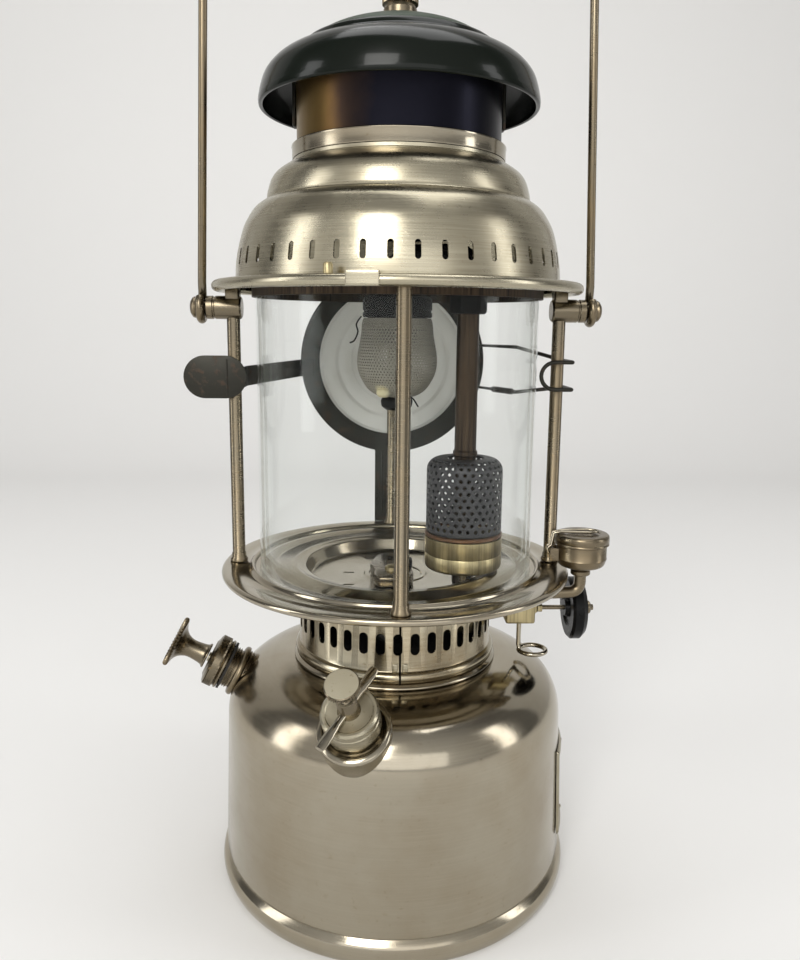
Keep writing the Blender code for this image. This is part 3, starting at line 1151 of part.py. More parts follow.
def make_spirit_cup():
    place = (SPIRIT_CUP_X, SPIRIT_CUP_Y, 0.0)
    bottom = SPIRIT_CUP_BOTTOM
    top = bottom + SPIRIT_CUP_HEIGHT
    radius = SPIRIT_CUP_RADIUS
    corner = SPIRIT_CUP_SHEET * 3
    inside = radius - SPIRIT_CUP_SHEET
    cup = turned("spirit_cup", [
        (0.0, bottom + SPIRIT_CUP_SHEET), (inside - corner, bottom + SPIRIT_CUP_SHEET),
        (inside, bottom + corner), (inside, top), (radius, top), (radius, bottom + corner),
        (radius - corner, bottom), (0.0, bottom)], MID_STEPS, "satin_nickel", at=place)
    pin_x = SPIRIT_CUP_X - LID_RADIUS - LID_HINGE_REACH
    pin_z = top - LID_SKIRT - TOUCH_GAP
    half = LID_PIN_LENGTH / 2
    lug = LID_LUG_THICKNESS
    lugs = []
    for side in (-1, 1):
        y = SPIRIT_CUP_Y + side * (half - lug / 2)
        lugs.append(box(f"lid_lug_{side}", (pin_x, y - lug / 2, bottom + corner),
                        (SPIRIT_CUP_X - inside * 0.97, y + lug / 2, top - LID_SKIRT - TOUCH_GAP), "satin_nickel"))
        lugs.append(box(f"lid_ear_{side}", (pin_x - lug, y - lug / 2, bottom + corner),
                        (pin_x + lug, y + lug / 2, pin_z + lug), "satin_nickel"))
    bm = bmesh.new()
    start = (pin_x, SPIRIT_CUP_Y - half, pin_z)
    add_cylinder(bm, LID_PIN_RADIUS, LID_PIN_LENGTH, PIN_STEPS, along(start, (pin_x, SPIRIT_CUP_Y + half, pin_z)))
    mesh = bpy.data.meshes.new("lid_hinge_pin")
    bm.to_mesh(mesh)
    bm.free()
    pin = add_object("lid_hinge_pin", mesh, "satin_nickel")
    join(cup, *lugs, pin)
    lid_top = top + TOUCH_GAP + LID_THICKNESS
    hinge = (pin_x, SPIRIT_CUP_Y, pin_z)
    offset = (SPIRIT_CUP_X, SPIRIT_CUP_Y, 0.0)
    skirt = radius + TOUCH_GAP
    turned("spirit_lid", [
        (0.0, lid_top), (LID_RADIUS - LID_THICKNESS, lid_top), (LID_RADIUS, lid_top - LID_THICKNESS / 2),
        (LID_RADIUS, top - LID_SKIRT), (skirt, top - LID_SKIRT), (skirt, top + TOUCH_GAP),
        (0.0, top + TOUCH_GAP)], MID_STEPS, "satin_nickel", at=offset)
    eye = LID_PIN_RADIUS + TOUCH_GAP + LID_WIRE_RADIUS
    over = lid_top + TOUCH_GAP + LID_WIRE_RADIUS
    path = [(pin_x + eye * math.sin(math.radians(a)), SPIRIT_CUP_Y, pin_z - eye * math.cos(math.radians(a)))
            for a in range(10, -171, -20)]
    path.append((pin_x + eye * 0.3, SPIRIT_CUP_Y, over))
    path.append((SPIRIT_CUP_X + LID_RADIUS * 0.6, SPIRIT_CUP_Y, over))
    wire("lid_wire", path, LID_WIRE_RADIUS, "polished_nickel", at=hinge)
    bends = (SPIRIT_PIPE_BEND, SPIRIT_PIPE_RISE_BEND)
    wire("spirit_pipe", rounded_path(spirit_pipe_corners(), bends), SPIRIT_PIPE_RADIUS, "aged_nickel")


# Valve gear

def make_valve_gear():
    body_x = PREHEATER_X
    body_y = PREHEATER_Y / 2
    body_top = VALVE_BODY_BOTTOM + VALVE_BODY_HEIGHT
    half_x = VALVE_BODY_LENGTH / 2
    half_y = VALVE_BODY_WIDTH / 2
    box("valve_body", (body_x - half_x, body_y - half_y, VALVE_BODY_BOTTOM),
        (body_x + half_x, body_y + half_y, body_top), "brass", bevel=VALVE_BODY_LENGTH / 12)
    riser_height = VALVE_BODY_BOTTOM + VALVE_BODY_HEIGHT / 2
    corners = [(0.0, 0.0, RISER_BOTTOM), (0.0, 0.0, riser_height),
               (body_x - half_x - TOUCH_GAP, 0.0, riser_height)]
    riser = to_mesh(wire("fuel_riser", rounded_path(corners, RISER_BEND), RISER_RADIUS - TOUCH_GAP, "brass"))
    gland_bottom = TANK_DECK_HEIGHT + TOUCH_GAP
    gland = rod("riser_gland", GLAND_RADIUS, gland_bottom, gland_bottom + GLAND_HEIGHT, 6, "brass")
    join(riser, gland)

    axis = add_frame("wheel_frame", (0.0, 0.0, SPINDLE_HEIGHT), (1.0, 0.0, 0.0))
    wheel_outer = WHEEL_INNER + WHEEL_WIDTH
    nut_outer = wheel_outer + TOUCH_GAP + WHEEL_NUT_LENGTH
    bore = SPINDLE_RADIUS + TOUCH_GAP
    bevel = WHEEL_BEVEL
    turned("hand_wheel", [
        (bore, wheel_outer), (WHEEL_RADIUS - bevel, wheel_outer), (WHEEL_RADIUS, wheel_outer - bevel),
        (WHEEL_RADIUS, WHEEL_INNER + bevel), (WHEEL_RADIUS - bevel, WHEEL_INNER), (bore, WHEEL_INNER)],
        MID_STEPS, "bakelite", axis)
    nut_inner = wheel_outer + TOUCH_GAP
    spindle_end = body_x + half_x + TOUCH_GAP
    turned("valve_spindle", [
        (0.0, nut_outer), (WHEEL_NUT_RADIUS * 0.6, nut_outer),
        (WHEEL_NUT_RADIUS, nut_outer - WHEEL_NUT_LENGTH / 2), (WHEEL_NUT_RADIUS, nut_inner),
        (SPINDLE_RADIUS, nut_inner), (SPINDLE_RADIUS, spindle_end), (0.0, spindle_end)],
        PIN_STEPS, "aged_nickel", axis)

    block = box("bearing_block", (BLOCK_INNER, BLOCK_FRONT, BLOCK_BOTTOM), (BLOCK_OUTER, BLOCK_BACK, BLOCK_TOP),
                "brass", bevel=SPINDLE_RADIUS)
    boss = rod("block_boss", BLOCK_BOSS_RADIUS, COLLAR_RADIUS + TOUCH_GAP * 2, BLOCK_INNER + SPINDLE_RADIUS,
               SMALL_STEPS, "brass", axis)
    join(block, boss)
    spindle_bore = rod_cutter("spindle_bore", bore, COLLAR_RADIUS - CUT_OVERRUN, BLOCK_OUTER + CUT_OVERRUN,
                              PIN_STEPS, axis)
    key_bore = rod_cutter("key_bore", KEY_WIRE_RADIUS + TOUCH_GAP, BLOCK_BOTTOM - CUT_OVERRUN,
                          BLOCK_BOTTOM + KEY_INSERT + TOUCH_GAP, PIN_STEPS, at=(KEY_X, KEY_Y, 0.0))
    cut(block, spindle_bore, key_bore)

    turn = KEY_WIRE_RADIUS * 2
    path = [(KEY_X, KEY_Y, BLOCK_BOTTOM + KEY_INSERT), (KEY_X, KEY_Y, KEY_RING_HEIGHT + turn)]
    centre_x = KEY_X + KEY_RING_RADIUS
    for k in range(1, KEY_RING_STEPS + 1):
        angle = math.pi + KEY_RING_SWEEP * k / KEY_RING_STEPS
        path.append((centre_x + KEY_RING_RADIUS * math.cos(angle), KEY_Y + KEY_RING_RADIUS * math.sin(angle),
                     KEY_RING_HEIGHT))
    wire("key_wire", path, KEY_WIRE_RADIUS, "polished_nickel", at=(KEY_X, KEY_Y, KEY_RING_HEIGHT), roundness=1)

    floor = PLATE_TOP - RECESS_DEPTH + TOUCH_GAP
    outline = [(BRACKET_WIDTH * x, BRACKET_LENGTH * y) for x, y in BRACKET_OUTLINE_SHARES]
    slot_x, slot_y = BRACKET_SLOT_WIDTH / 2, BRACKET_SLOT_LENGTH / 2
    slot_middle = BRACKET_LENGTH / 4
    slot = [(-slot_x, slot_middle - slot_y), (slot_x, slot_middle - slot_y),
            (slot_x, slot_middle + slot_y), (-slot_x, slot_middle + slot_y)]
    plate_curve("floor_bracket", [outline, slot], BRACKET_HEIGHT, "aged_nickel",
                Matrix.Translation((-BRACKET_WIDTH / 10, BRACKET_Y, floor + BRACKET_HEIGHT / 2)))


# Reflector, its arm and its clip

def make_reflector():
    upright = Matrix.Rotation(math.pi / 2, 4, "X")
    half = LEG_WIDTH / 2
    drop = REFLECTOR_HEIGHT - PLATE_TOP - TOUCH_GAP
    meet = math.degrees(math.asin(half / REFLECTOR_RING_RADIUS))
    outline = arc(0.0, 0.0, REFLECTOR_RING_RADIUS, -90.0 + meet, 270.0 - meet, WIDE_STEPS - 6)
    outline += [(-half, -drop), (half, -drop)]
    hole = arc(0.0, 0.0, REFLECTOR_RING_BORE, 360.0, 360.0 / WIDE_STEPS, WIDE_STEPS - 1)
    middle = REFLECTOR_FACE + REFLECTOR_SHEET / 2
    frame = to_mesh(plate_curve("reflector_frame", [outline, hole], REFLECTOR_SHEET, "dark_steel",
                                Matrix.Translation((0.0, middle, REFLECTOR_HEIGHT)) @ upright))

    disc_frame = add_frame("disc_frame", (0.0, REFLECTOR_FACE + REFLECTOR_SHEET + TOUCH_GAP, REFLECTOR_HEIGHT),
                           (0.0, -1.0, 0.0))
    face = [(REFLECTOR_DISC_RADIUS * r, -REFLECTOR_DISH * z) for r, z in reversed(REFLECTOR_STEP_SHARES)]
    face = [(0.0, -REFLECTOR_DISH)] + face + [(REFLECTOR_DISC_RADIUS, 0.0)]
    back = [(r, z - REFLECTOR_SHEET) for r, z in reversed(face)]
    disc = turned("reflector_disc", face + back, MID_STEPS, "enamel_white", disc_frame)
    reach = REFLECTOR_RING_RADIUS + CUT_OVERRUN
    level = RING_TOP - RING_ROLL_RADIUS * 2 - TOUCH_GAP * 2
    above = box_cutter("above_reflector", (-reach, REFLECTOR_FACE - CUT_OVERRUN, level),
                       (reach, REFLECTOR_FACE + CUT_OVERRUN * 2, level + reach))
    cut(disc, above)
    cut(frame, above)

    arm_z = REFLECTOR_HEIGHT - ARM_DROP
    post_x = -POST_CIRCLE
    front = -POST_RADIUS - ARM_POST_GAP
    side_x = post_x + POST_RADIUS + ARM_POST_GAP
    lap = REFLECTOR_FACE - TOUCH_GAP - ARM_SHEET
    ring_x = -math.sqrt(REFLECTOR_RING_RADIUS ** 2 - ARM_DROP ** 2)
    line = [(ring_x + ARM_OVERLAP, lap + ARM_SHEET / 2), (ring_x, lap + ARM_SHEET / 2),
            (side_x + ARM_SHEET / 2, POST_RADIUS * 2), (side_x + ARM_SHEET / 2, front - ARM_SHEET / 2)]
    strip = rounded_path([(x, y, 0.0) for x, y in line], ARM_SHEET * 1.5, 2)
    outline = offset_strip([(p.x, p.y) for p in strip], ARM_SHEET)
    arm = to_mesh(plate_curve("reflector_arm", [outline], ARM_HEIGHT, "dark_steel",
                              Matrix.Translation((0.0, 0.0, arm_z))))
    end = TAB_HEIGHT / 2
    reach = TAB_LENGTH / 2 - end
    stadium = arc(reach, 0.0, end, -90.0, 90.0, 8) + arc(-reach, 0.0, end, 90.0, 270.0, 8)
    tab_x = -TAB_INNER - TAB_LENGTH / 2
    tab = to_mesh(plate_curve("reflector_tab", [stadium], ARM_SHEET, "dark_steel",
                              Matrix.Translation((tab_x, front - ARM_SHEET / 2, arm_z)) @ upright))
    join(arm, tab)
    make_clip(frame)


def offset_strip(line, width):
    """The closed outline of a strip of the given width about an open line."""
    left, right = [], []
    for k, point in enumerate(line):
        before = Vector(line[max(k - 1, 0)])
        after = Vector(line[min(k + 1, len(line) - 1)])
        way = (after - before).normalized()
        side = Vector((-way.y, way.x)) * width / 2
        left.append(tuple(Vector(point) + side))
        right.append(tuple(Vector(point) - side))
    return left + right[::-1]


def make_clip(frame):
    hinge_y = REFLECTOR_FACE - KNUCKLE_RADIUS + KNUCKLE_LAP
    middle = REFLECTOR_HEIGHT - CLIP_DROP
    high = middle + CLIP_HALF_HEIGHT
    low = middle - CLIP_HALF_HEIGHT
    outer_x = POST_CIRCLE + CLIP_HOOK_OUTER
    hook_y = -CLIP_HOOK_STANDOFF
    hook_high = middle + CLIP_HOOK_HALF_HEIGHT
    hook_low = middle - CLIP_HOOK_HALF_HEIGHT
    tip_x = POST_CIRCLE - CLIP_HOOK_REACH
    behind = POST_RADIUS + CLIP_HOOK_OUTER
    mid_x = (CLIP_X + outer_x) / 2
    mid_y = (hinge_y + behind) / 2
    top = [(CLIP_X, hinge_y, high), (mid_x, mid_y + POST_RADIUS, high), (outer_x, behind, hook_high),
           (outer_x, hook_y, hook_high), (tip_x, hook_y, hook_high - POST_RADIUS),
           (tip_x, hook_y, hook_low + POST_RADIUS), (outer_x, hook_y, hook_low),
           (outer_x, behind, hook_low), (mid_x, mid_y, low), (CLIP_X, hinge_y, low)]
    path = rounded_path(top, CLIP_WIRE_RADIUS * 1.6, 2)
    wire("reflector_clip", path, CLIP_WIRE_RADIUS, "dark_steel", cyclic=True, at=(CLIP_X, hinge_y, middle),
         roundness=1)
    knuckle = ring("clip_knuckle", CLIP_WIRE_RADIUS + TOUCH_GAP, KNUCKLE_RADIUS, middle - KNUCKLE_HEIGHT / 2,
                   middle + KNUCKLE_HEIGHT / 2, PIN_STEPS, "dark_steel", at=(CLIP_X, hinge_y, 0.0))
    join(frame, knuckle)


clear_scene()
PARTS = new_collection("pressure_lantern")
CUTTERS = new_collection("cutters")
MATERIALS = {name: new_finish(name) for name in FINISHES}
PUMP = add_frame("pump_axis", (-PUMP_ENTRY_RADIUS, 0.0, PUMP_ENTRY_HEIGHT),
                 (-math.cos(PUMP_ANGLE), 0.0, math.sin(PUMP_ANGLE)))
FILLER = add_frame("filler_axis", bearing_point(FILLER_CIRCLE, FILLER_BEARING, FILLER_HEIGHT),
                   bearing_point(math.cos(FILLER_ANGLE), FILLER_BEARING, math.sin(FILLER_ANGLE)))
TANK_SEAT = make_tank_seat()
make_tank()
make_badge()
make_pump()
make_filler()
make_collar()
make_plate()
make_posts()
make_upper_ring()
make_bail()
make_glass()
make_hood()
make_cap()
make_burner()
make_preheater()
make_spirit_cup()
make_valve_gear()
make_reflector()
bpy.context.view_layer.update()
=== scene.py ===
"""Looks of a kerosene pressure lantern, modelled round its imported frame.

Metres, +Z up, front towards -Y. Every piece rides on a body of the frame.
"""
import json
import math

import bpy
from bpy.props import FloatProperty, FloatVectorProperty, IntProperty, PointerProperty
from mathutils import Matrix, Vector


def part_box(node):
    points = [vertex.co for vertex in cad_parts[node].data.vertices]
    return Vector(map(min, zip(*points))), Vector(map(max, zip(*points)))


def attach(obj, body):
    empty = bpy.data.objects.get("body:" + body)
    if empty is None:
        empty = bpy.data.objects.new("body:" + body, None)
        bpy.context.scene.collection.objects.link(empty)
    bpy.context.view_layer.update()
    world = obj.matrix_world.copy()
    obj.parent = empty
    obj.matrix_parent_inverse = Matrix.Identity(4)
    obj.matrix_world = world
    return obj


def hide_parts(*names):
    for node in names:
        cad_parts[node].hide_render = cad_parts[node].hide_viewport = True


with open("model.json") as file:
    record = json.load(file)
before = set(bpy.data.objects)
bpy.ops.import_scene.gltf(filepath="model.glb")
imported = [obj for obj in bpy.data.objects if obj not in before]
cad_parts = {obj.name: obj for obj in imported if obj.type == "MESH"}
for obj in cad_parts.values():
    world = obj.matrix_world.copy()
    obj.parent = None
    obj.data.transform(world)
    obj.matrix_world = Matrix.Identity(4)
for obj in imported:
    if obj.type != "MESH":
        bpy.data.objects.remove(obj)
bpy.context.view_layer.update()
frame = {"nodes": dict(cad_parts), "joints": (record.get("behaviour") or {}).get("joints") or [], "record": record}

bl_info = {
    "name": "Pressure lantern looks",
    "version": (1, 0, 0),
    "blender": (4, 5, 0),
    "location": "3D View > Sidebar > Lantern",
    "description": "Models the surfaces of a kerosene pressure lantern round its packed frame",
    "category": "Object",
}

BODY = {node: body for body, nodes in frame["record"]["behaviour"]["bodies"].items() for node in nodes}
SLOT = {part["node"]: part["material_slot"] for part in frame["record"]["subparts"]}
JOINT = {joint["name"]: joint for joint in frame["joints"]}
FINISHES = {}

FINE = 160
ROUND = 96
SMALL = 48
THIN = 24
MERGE = 0.000004
GAP = 0.0003
UPRIGHT = Matrix.Rotation(math.pi / 2, 4, "X")
PLATE_TOP = 0.1495
POST_CIRCLE = 0.0743
POST_RADIUS = 0.00295
VAPORISER = (0.0311, -0.0112)


# Where the frame's nodes are

def low(node):
    return Vector(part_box(node)[0])


def high(node):
    return Vector(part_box(node)[1])


def middle(node):
    return (low(node) + high(node)) / 2


def levels(node):
    """The heights of a node's foot and top."""
    return low(node).z, high(node).z


def joint_frame(name):
    """The place of a joint's axis: local Z runs along it and local X stays level."""
    joint = JOINT[name]
    z = Vector(joint["axis"]).normalized()
    x = Vector((0.0, 0.0, 1.0)).cross(z).normalized()
    return Matrix.Translation(joint["pos_m"]) @ Matrix((x, z.cross(x), z)).transposed().to_4x4()


def around(radius, bearing, height=0.0):
    """A point at a bearing from the front, counted towards +X."""
    return Vector((radius * math.sin(bearing), -radius * math.cos(bearing), height))


# Outlines

def mm(*pairs, r=0.0, z=0.0):
    """Points given in millimetres out from a radius and up from a height."""
    return [(r + across / 1000, z + up / 1000) for across, up in pairs]


def rod_line(radius, first, last):
    """The outline of a plain rod between two heights."""
    return [(0.0, first), (radius, first), (radius, last), (0.0, last)]


def ring_line(inner, outer, bottom, top):
    """The closed outline of a plain ring."""
    return [(inner, bottom), (outer, bottom), (outer, top), (inner, top), (inner, bottom)]


def arc(cx, cz, radius, start, end, steps):
    """Points of an arc, angles in degrees from +X."""
    points = []
    for k in range(steps + 1):
        angle = math.radians(start + (end - start) * k / steps)
        points.append((cx + radius * math.cos(angle), cz + radius * math.sin(angle)))
    return points


def smooth(points, steps):
    """A rounder line through the same points."""
    points = [Vector(p) for p in points]
    line = []
    for k in range(len(points) - 1):
        before = points[max(k - 1, 0)]
        start, end = points[k], points[k + 1]
        after = points[min(k + 2, len(points) - 1)]
        for step in range(steps):
            t = step / steps
            line.append(0.5 * (2 * start + (end - before) * t
                               + (2 * before - 5 * start + 4 * end - after) * t ** 2
                               + (3 * start - before - 3 * end + after) * t ** 3))
    line.append(points[-1])
    return [tuple(p) for p in line]


def even(points, pitch):
    """Points at equal distances along the line, near the pitch."""
    points = [Vector(p) for p in points]
    lengths = [0.0]
    for start, end in zip(points, points[1:]):
        lengths.append(lengths[-1] + (end - start).length)
    parts = round(lengths[-1] / pitch)
    line, k = [], 0
    for part in range(parts + 1):
        reach = lengths[-1] * part / parts
        while k < len(points) - 2 and lengths[k + 1] < reach:
            k += 1
        share = (reach - lengths[k]) / (lengths[k + 1] - lengths[k])
        line.append(tuple(points[k].lerp(points[k + 1], share)))
    return line


def bent(corners, bend, steps=6):
    """A path through the corners, each inner corner rounded."""
    points = [Vector(corners[0])]
    for before, corner, after in zip(corners, corners[1:], corners[2:]):
        corner = Vector(corner)
        into = (corner - Vector(before)).normalized()
        out = (Vector(after) - corner).normalized()
        reach = bend * math.tan(into.angle(out) / 2)
        start, end = corner - into * reach, corner + out * reach
        for k in range(steps + 1):
            t = k / steps
            points.append(start * (1 - t) ** 2 + corner * 2 * t * (1 - t) + end * t ** 2)
    points.append(Vector(corners[-1]))
    return points


# Modelling

def clear_selection():
    for obj in bpy.context.selected_objects:
        obj.select_set(False)


def activate(*objs):
    clear_selection()
    for obj in objs:
        obj.select_set(True)
    bpy.context.view_layer.objects.active = objs[0]


def edit(obj, mode="VERT"):
    activate(obj)
    bpy.ops.object.mode_set(mode="EDIT")
    bpy.ops.mesh.select_mode(type=mode)


def leave():
    bpy.ops.object.mode_set(mode="OBJECT")


def select_verts(obj, test):
    """Selects the vertices whose place passes the test, and stays in edit mode."""
    edit(obj)
    bpy.ops.mesh.select_all(action="DESELECT")
    leave()
    for vert in obj.data.vertices:
        vert.select = test(vert.co)
    edit(obj)


def select_faces(obj, test):
    """Selects the faces whose middle and normal pass the test, and stays in edit mode."""
    edit(obj, "FACE")
    bpy.ops.mesh.select_all(action="DESELECT")
    leave()
    for face in obj.data.polygons:
        face.select = test(face.center, face.normal)
    edit(obj, "FACE")


def shade(obj, degrees=35.0):
    activate(obj)
    bpy.ops.object.shade_smooth_by_angle(angle=math.radians(degrees))


def place(obj, matrix):
    """Puts a piece where the matrix says, with its place in its mesh."""
    obj.matrix_world = matrix @ obj.matrix_world
    activate(obj)
    bpy.ops.object.transform_apply(location=True, rotation=True, scale=True)
    return obj


def apply(obj, kind, **values):
    modifier = obj.modifiers.new(kind.title(), kind)
    for key, value in values.items():
        setattr(modifier, key, value)
    activate(obj)
    bpy.ops.object.modifier_apply(modifier=modifier.name)
    return obj


def thicken(obj, thickness, offset=-1.0):
    return apply(obj, "SOLIDIFY", thickness=thickness, offset=offset, use_even_offset=True)


def round_edges(obj, width, segments=3, degrees=40.0):
    return apply(obj, "BEVEL", width=width, segments=segments, limit_method="ANGLE",
                 angle_limit=math.radians(degrees))


def subdivide(obj, levels=1):
    return apply(obj, "SUBSURF", levels=levels, render_levels=levels)


def cut(obj, cutter):
    apply(obj, "BOOLEAN", object=cutter, operation="DIFFERENCE", solver="EXACT")
    bpy.data.objects.remove(cutter, do_unlink=True)
    return obj


def chain(name, points):
    """One vertex extruded from point to point, left in edit mode."""
    clear_selection()
    bpy.ops.mesh.primitive_plane_add(size=GAP)
    obj = bpy.context.object
    obj.name = name
    edit(obj)
    bpy.ops.mesh.merge(type="CENTER")
    bpy.ops.transform.translate(value=points[0])
    for start, end in zip(points, points[1:]):
        bpy.ops.mesh.extrude_vertices_move(TRANSFORM_OT_translate={"value": Vector(end) - Vector(start)})
    bpy.ops.mesh.select_all(action="SELECT")
    return obj


def spun(name, outline, steps=ROUND, shading=35.0):
    """A turned piece: the outline of (radius, height) points spun about the Z axis."""
    obj = chain(name, [(r, 0.0, z) for r, z in outline])
    bpy.ops.mesh.spin(steps=steps, angle=2 * math.pi, center=(0.0, 0.0, 0.0), axis=(0.0, 0.0, 1.0))
    bpy.ops.mesh.select_all(action="SELECT")
    bpy.ops.mesh.remove_doubles(threshold=MERGE)
    bpy.ops.mesh.normals_make_consistent(inside=False)
    leave()
    shade(obj, shading)
    return obj


def tube(name, points, radius, closed=False, sides=5):
    """A round wire or pipe through the points, with closed ends."""
    clear_selection()
    bpy.ops.curve.primitive_bezier_curve_add()
    obj = bpy.context.object
    obj.name = name
    curve = obj.data
    curve.splines.clear()
    spline = curve.splines.new("POLY")
    spline.points.add(len(points) - 1)
    for knot, point in zip(spline.points, points):
        knot.co = (*point, 1.0)
    spline.use_cyclic_u = closed
    curve.dimensions = "3D"
    curve.bevel_depth = radius
    curve.bevel_resolution = sides
    curve.use_fill_caps = True
    activate(obj)
    bpy.ops.object.convert(target="MESH")
    obj = bpy.context.object
    edit(obj)
    bpy.ops.mesh.select_all(action="SELECT")
    bpy.ops.mesh.remove_doubles(threshold=MERGE)
    bpy.ops.mesh.normals_make_consistent(inside=False)
    leave()
    shade(obj, 50.0)
    return obj


def block(name, lowest, highest, bevel=0.0, segments=3):
    """A bevelled block between two corners."""
    clear_selection()
    lowest, highest = Vector(lowest), Vector(highest)
    bpy.ops.mesh.primitive_cube_add(size=1.0, location=(lowest + highest) / 2)
    obj = bpy.context.object
    obj.name = name
    obj.scale = highest - lowest
    activate(obj)
    bpy.ops.object.transform_apply(location=True, rotation=True, scale=True)
    if bevel:
        round_edges(obj, bevel, segments)
        shade(obj)
    return obj


def plate(name, outline, thickness, matrix, bevel=0.0):
    """A flat plate: the outline filled, extruded along local Z and bevelled."""
    clear_selection()
    bpy.ops.mesh.primitive_circle_add(vertices=len(outline), radius=1.0, fill_type="NGON")
    obj = bpy.context.object
    obj.name = name
    for vert, (x, y) in zip(obj.data.vertices, outline):
        vert.co = (x, y, -thickness / 2)
    edit(obj, "FACE")
    bpy.ops.mesh.select_all(action="SELECT")
    bpy.ops.mesh.extrude_region_move(TRANSFORM_OT_translate={"value": (0.0, 0.0, thickness)})
    bpy.ops.mesh.select_all(action="SELECT")
    bpy.ops.mesh.normals_make_consistent(inside=False)
    leave()
    if bevel:
        round_edges(obj, bevel, 2)
    shade(obj)
    return place(obj, matrix)


def grid(name, columns, rows):
    """A flat grid that reaches from -1 to 1 both ways."""
    clear_selection()
    bpy.ops.mesh.primitive_grid_add(x_subdivisions=columns, y_subdivisions=rows, size=2.0)
    obj = bpy.context.object
    obj.name = name
    return obj


def copy_of(obj):
    clear_selection()
    twin = obj.copy()
    twin.data = obj.data.copy()
    bpy.context.collection.objects.link(twin)
    return twin


def join(name, *objs):
    activate(*objs)
    if len(objs) > 1:
        bpy.ops.object.join()
    obj = bpy.context.object
    obj.name = name
    return obj


def ring_of(model, count, start=0.0):
    """Copies of the model at even bearings about the Z axis, joined into one object."""
    copies = []
    for k in range(count):
        twin = copy_of(model)
        place(twin, Matrix.Rotation(start + 2 * math.pi * k / count, 4, "Z"))
        copies.append(twin)
    bpy.data.objects.remove(model, do_unlink=True)
    return join("ring_of_copies", *copies)


def slots(radius, rise, count, width, height, depth, start=0.0):
    """Upright slots with round ends, to cut a turned wall."""
    half = (height - width) / 2
    outline = arc(0.0, half, width / 2, 0.0, 180.0, 8) + arc(0.0, -half, width / 2, 180.0, 360.0, 8)
    slot = plate("slot", outline, depth, Matrix.Translation((0.0, -radius, rise)) @ UPRIGHT)
    return ring_of(slot, count, start)


def column_of(co, columns):
    return round(math.atan2(co.y, co.x) / (2 * math.pi) * columns) % columns


def knurl(obj, columns, depth, test, diamond=None):
    """Moves every second column out by the depth, or in where it is below 0.

    Where diamond gives the row of a height, only every second crossing of row and column moves.
    """
    def chosen(co):
        row = diamond(co.z) if diamond else 0
        return test(co) and (column_of(co, columns) + row) % 2 == 0
    select_verts(obj, chosen)
    bpy.ops.transform.shrink_fatten(value=depth)
    leave()
    shade(obj, 14.0)


def pierce(obj, columns, row_of, radius):
    """Opens round holes in a staggered pattern round every second vertex of the wall."""
    def chosen(co):
        row = row_of(co)
        return row is not None and row % 2 == 0 and (column_of(co, columns) + row // 2) % 2 == 0
    select_verts(obj, chosen)
    bpy.ops.mesh.bevel(affect="VERTICES", offset=radius, segments=2, profile=0.5)
    leave()
    seen = {tuple(round(v, 6) for v in face.center) for face in obj.data.polygons if face.select}
    select_faces(obj, lambda centre, normal: tuple(round(v, 6) for v in centre) in seen)
    bpy.ops.mesh.delete(type="FACE")
    leave()


# What each piece stands for

def finish(obj, slot):
    obj.data.materials.clear()
    obj.data.materials.append(FINISHES[slot])


def dress(obj, *nodes, look=None):
    """The piece replaces these nodes and takes the first one's body and finish."""
    slot = SLOT[nodes[0]]
    finish(obj, look or slot)
    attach(obj, BODY[nodes[0]])
    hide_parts(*nodes)


def trim(obj, node, slot=None, look=None):
    """A detail that rides with a node and replaces nothing."""
    finish(obj, look or slot or SLOT[node])
    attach(obj, BODY[node])


def paint_faces(obj, slot, test):
    """Gives a second finish to the faces that pass the test."""
    obj.data.materials.append(FINISHES[slot])
    index = len(obj.data.materials) - 1
    for face in obj.data.polygons:
        if test(face.center, face.normal):
            face.material_index = index


# Properties that a user would change

def length(name, words, default):
    return FloatProperty(name=name, description=words, default=default, min=0.0, unit="LENGTH", precision=5)


def colour(name, words, default):
    return FloatVectorProperty(name=name, description=words, default=default, size=3, min=0.0, max=1.0,
                               subtype="COLOR")


def turning(name, words, degrees):
    return FloatProperty(name=name, description=words, default=math.radians(degrees), unit="ROTATION")


def count(name, words, default):
    return IntProperty(name=name, description=words, default=default, min=1)


class LanternSizes(bpy.types.PropertyGroup):
    tank_wall: length("Tank wall", "Radius of the tank under its shoulder", 0.0800)
    tank_foot: length("Tank foot", "Radius of the tank over its foot bead", 0.0821)
    tank_bead: length("Bead height", "Height of the rolled foot bead", 0.0110)
    shoulder_height: length("Shoulder height", "Height at which the shoulder begins", 0.0770)
    deck_radius: length("Deck radius", "Radius of the flat deck on top of the tank", 0.0460)
    hood_slots: count("Hood slots", "Number of air slots round the hood", 44)
    hood_slot_width: length("Hood slot width", "Width of one air slot", 0.0024)
    hood_slot_height: length("Hood slot height", "Height of one air slot", 0.0072)
    collar_slots: count("Collar slots", "Number of air slots round the collar", 38)
    collar_slot_width: length("Collar slot width", "Width of one collar slot", 0.0040)
    collar_slot_height: length("Collar slot height", "Height of one collar slot", 0.0098)
    screen_holes: count("Screen holes", "Number of holes in one row of the preheater's screen", 30)
    screen_hole_radius: length("Screen hole radius", "Radius of one hole of the screen", 0.0013)
    mantle_holes: count("Mantle holes", "Number of openings in one row of the mantle's mesh", 72)
    knurl_depth: length("Knurl depth", "Height of the knurled ridges", 0.00065)
    thread_depth: length("Thread depth", "Depth of the screw threads", 0.0007)


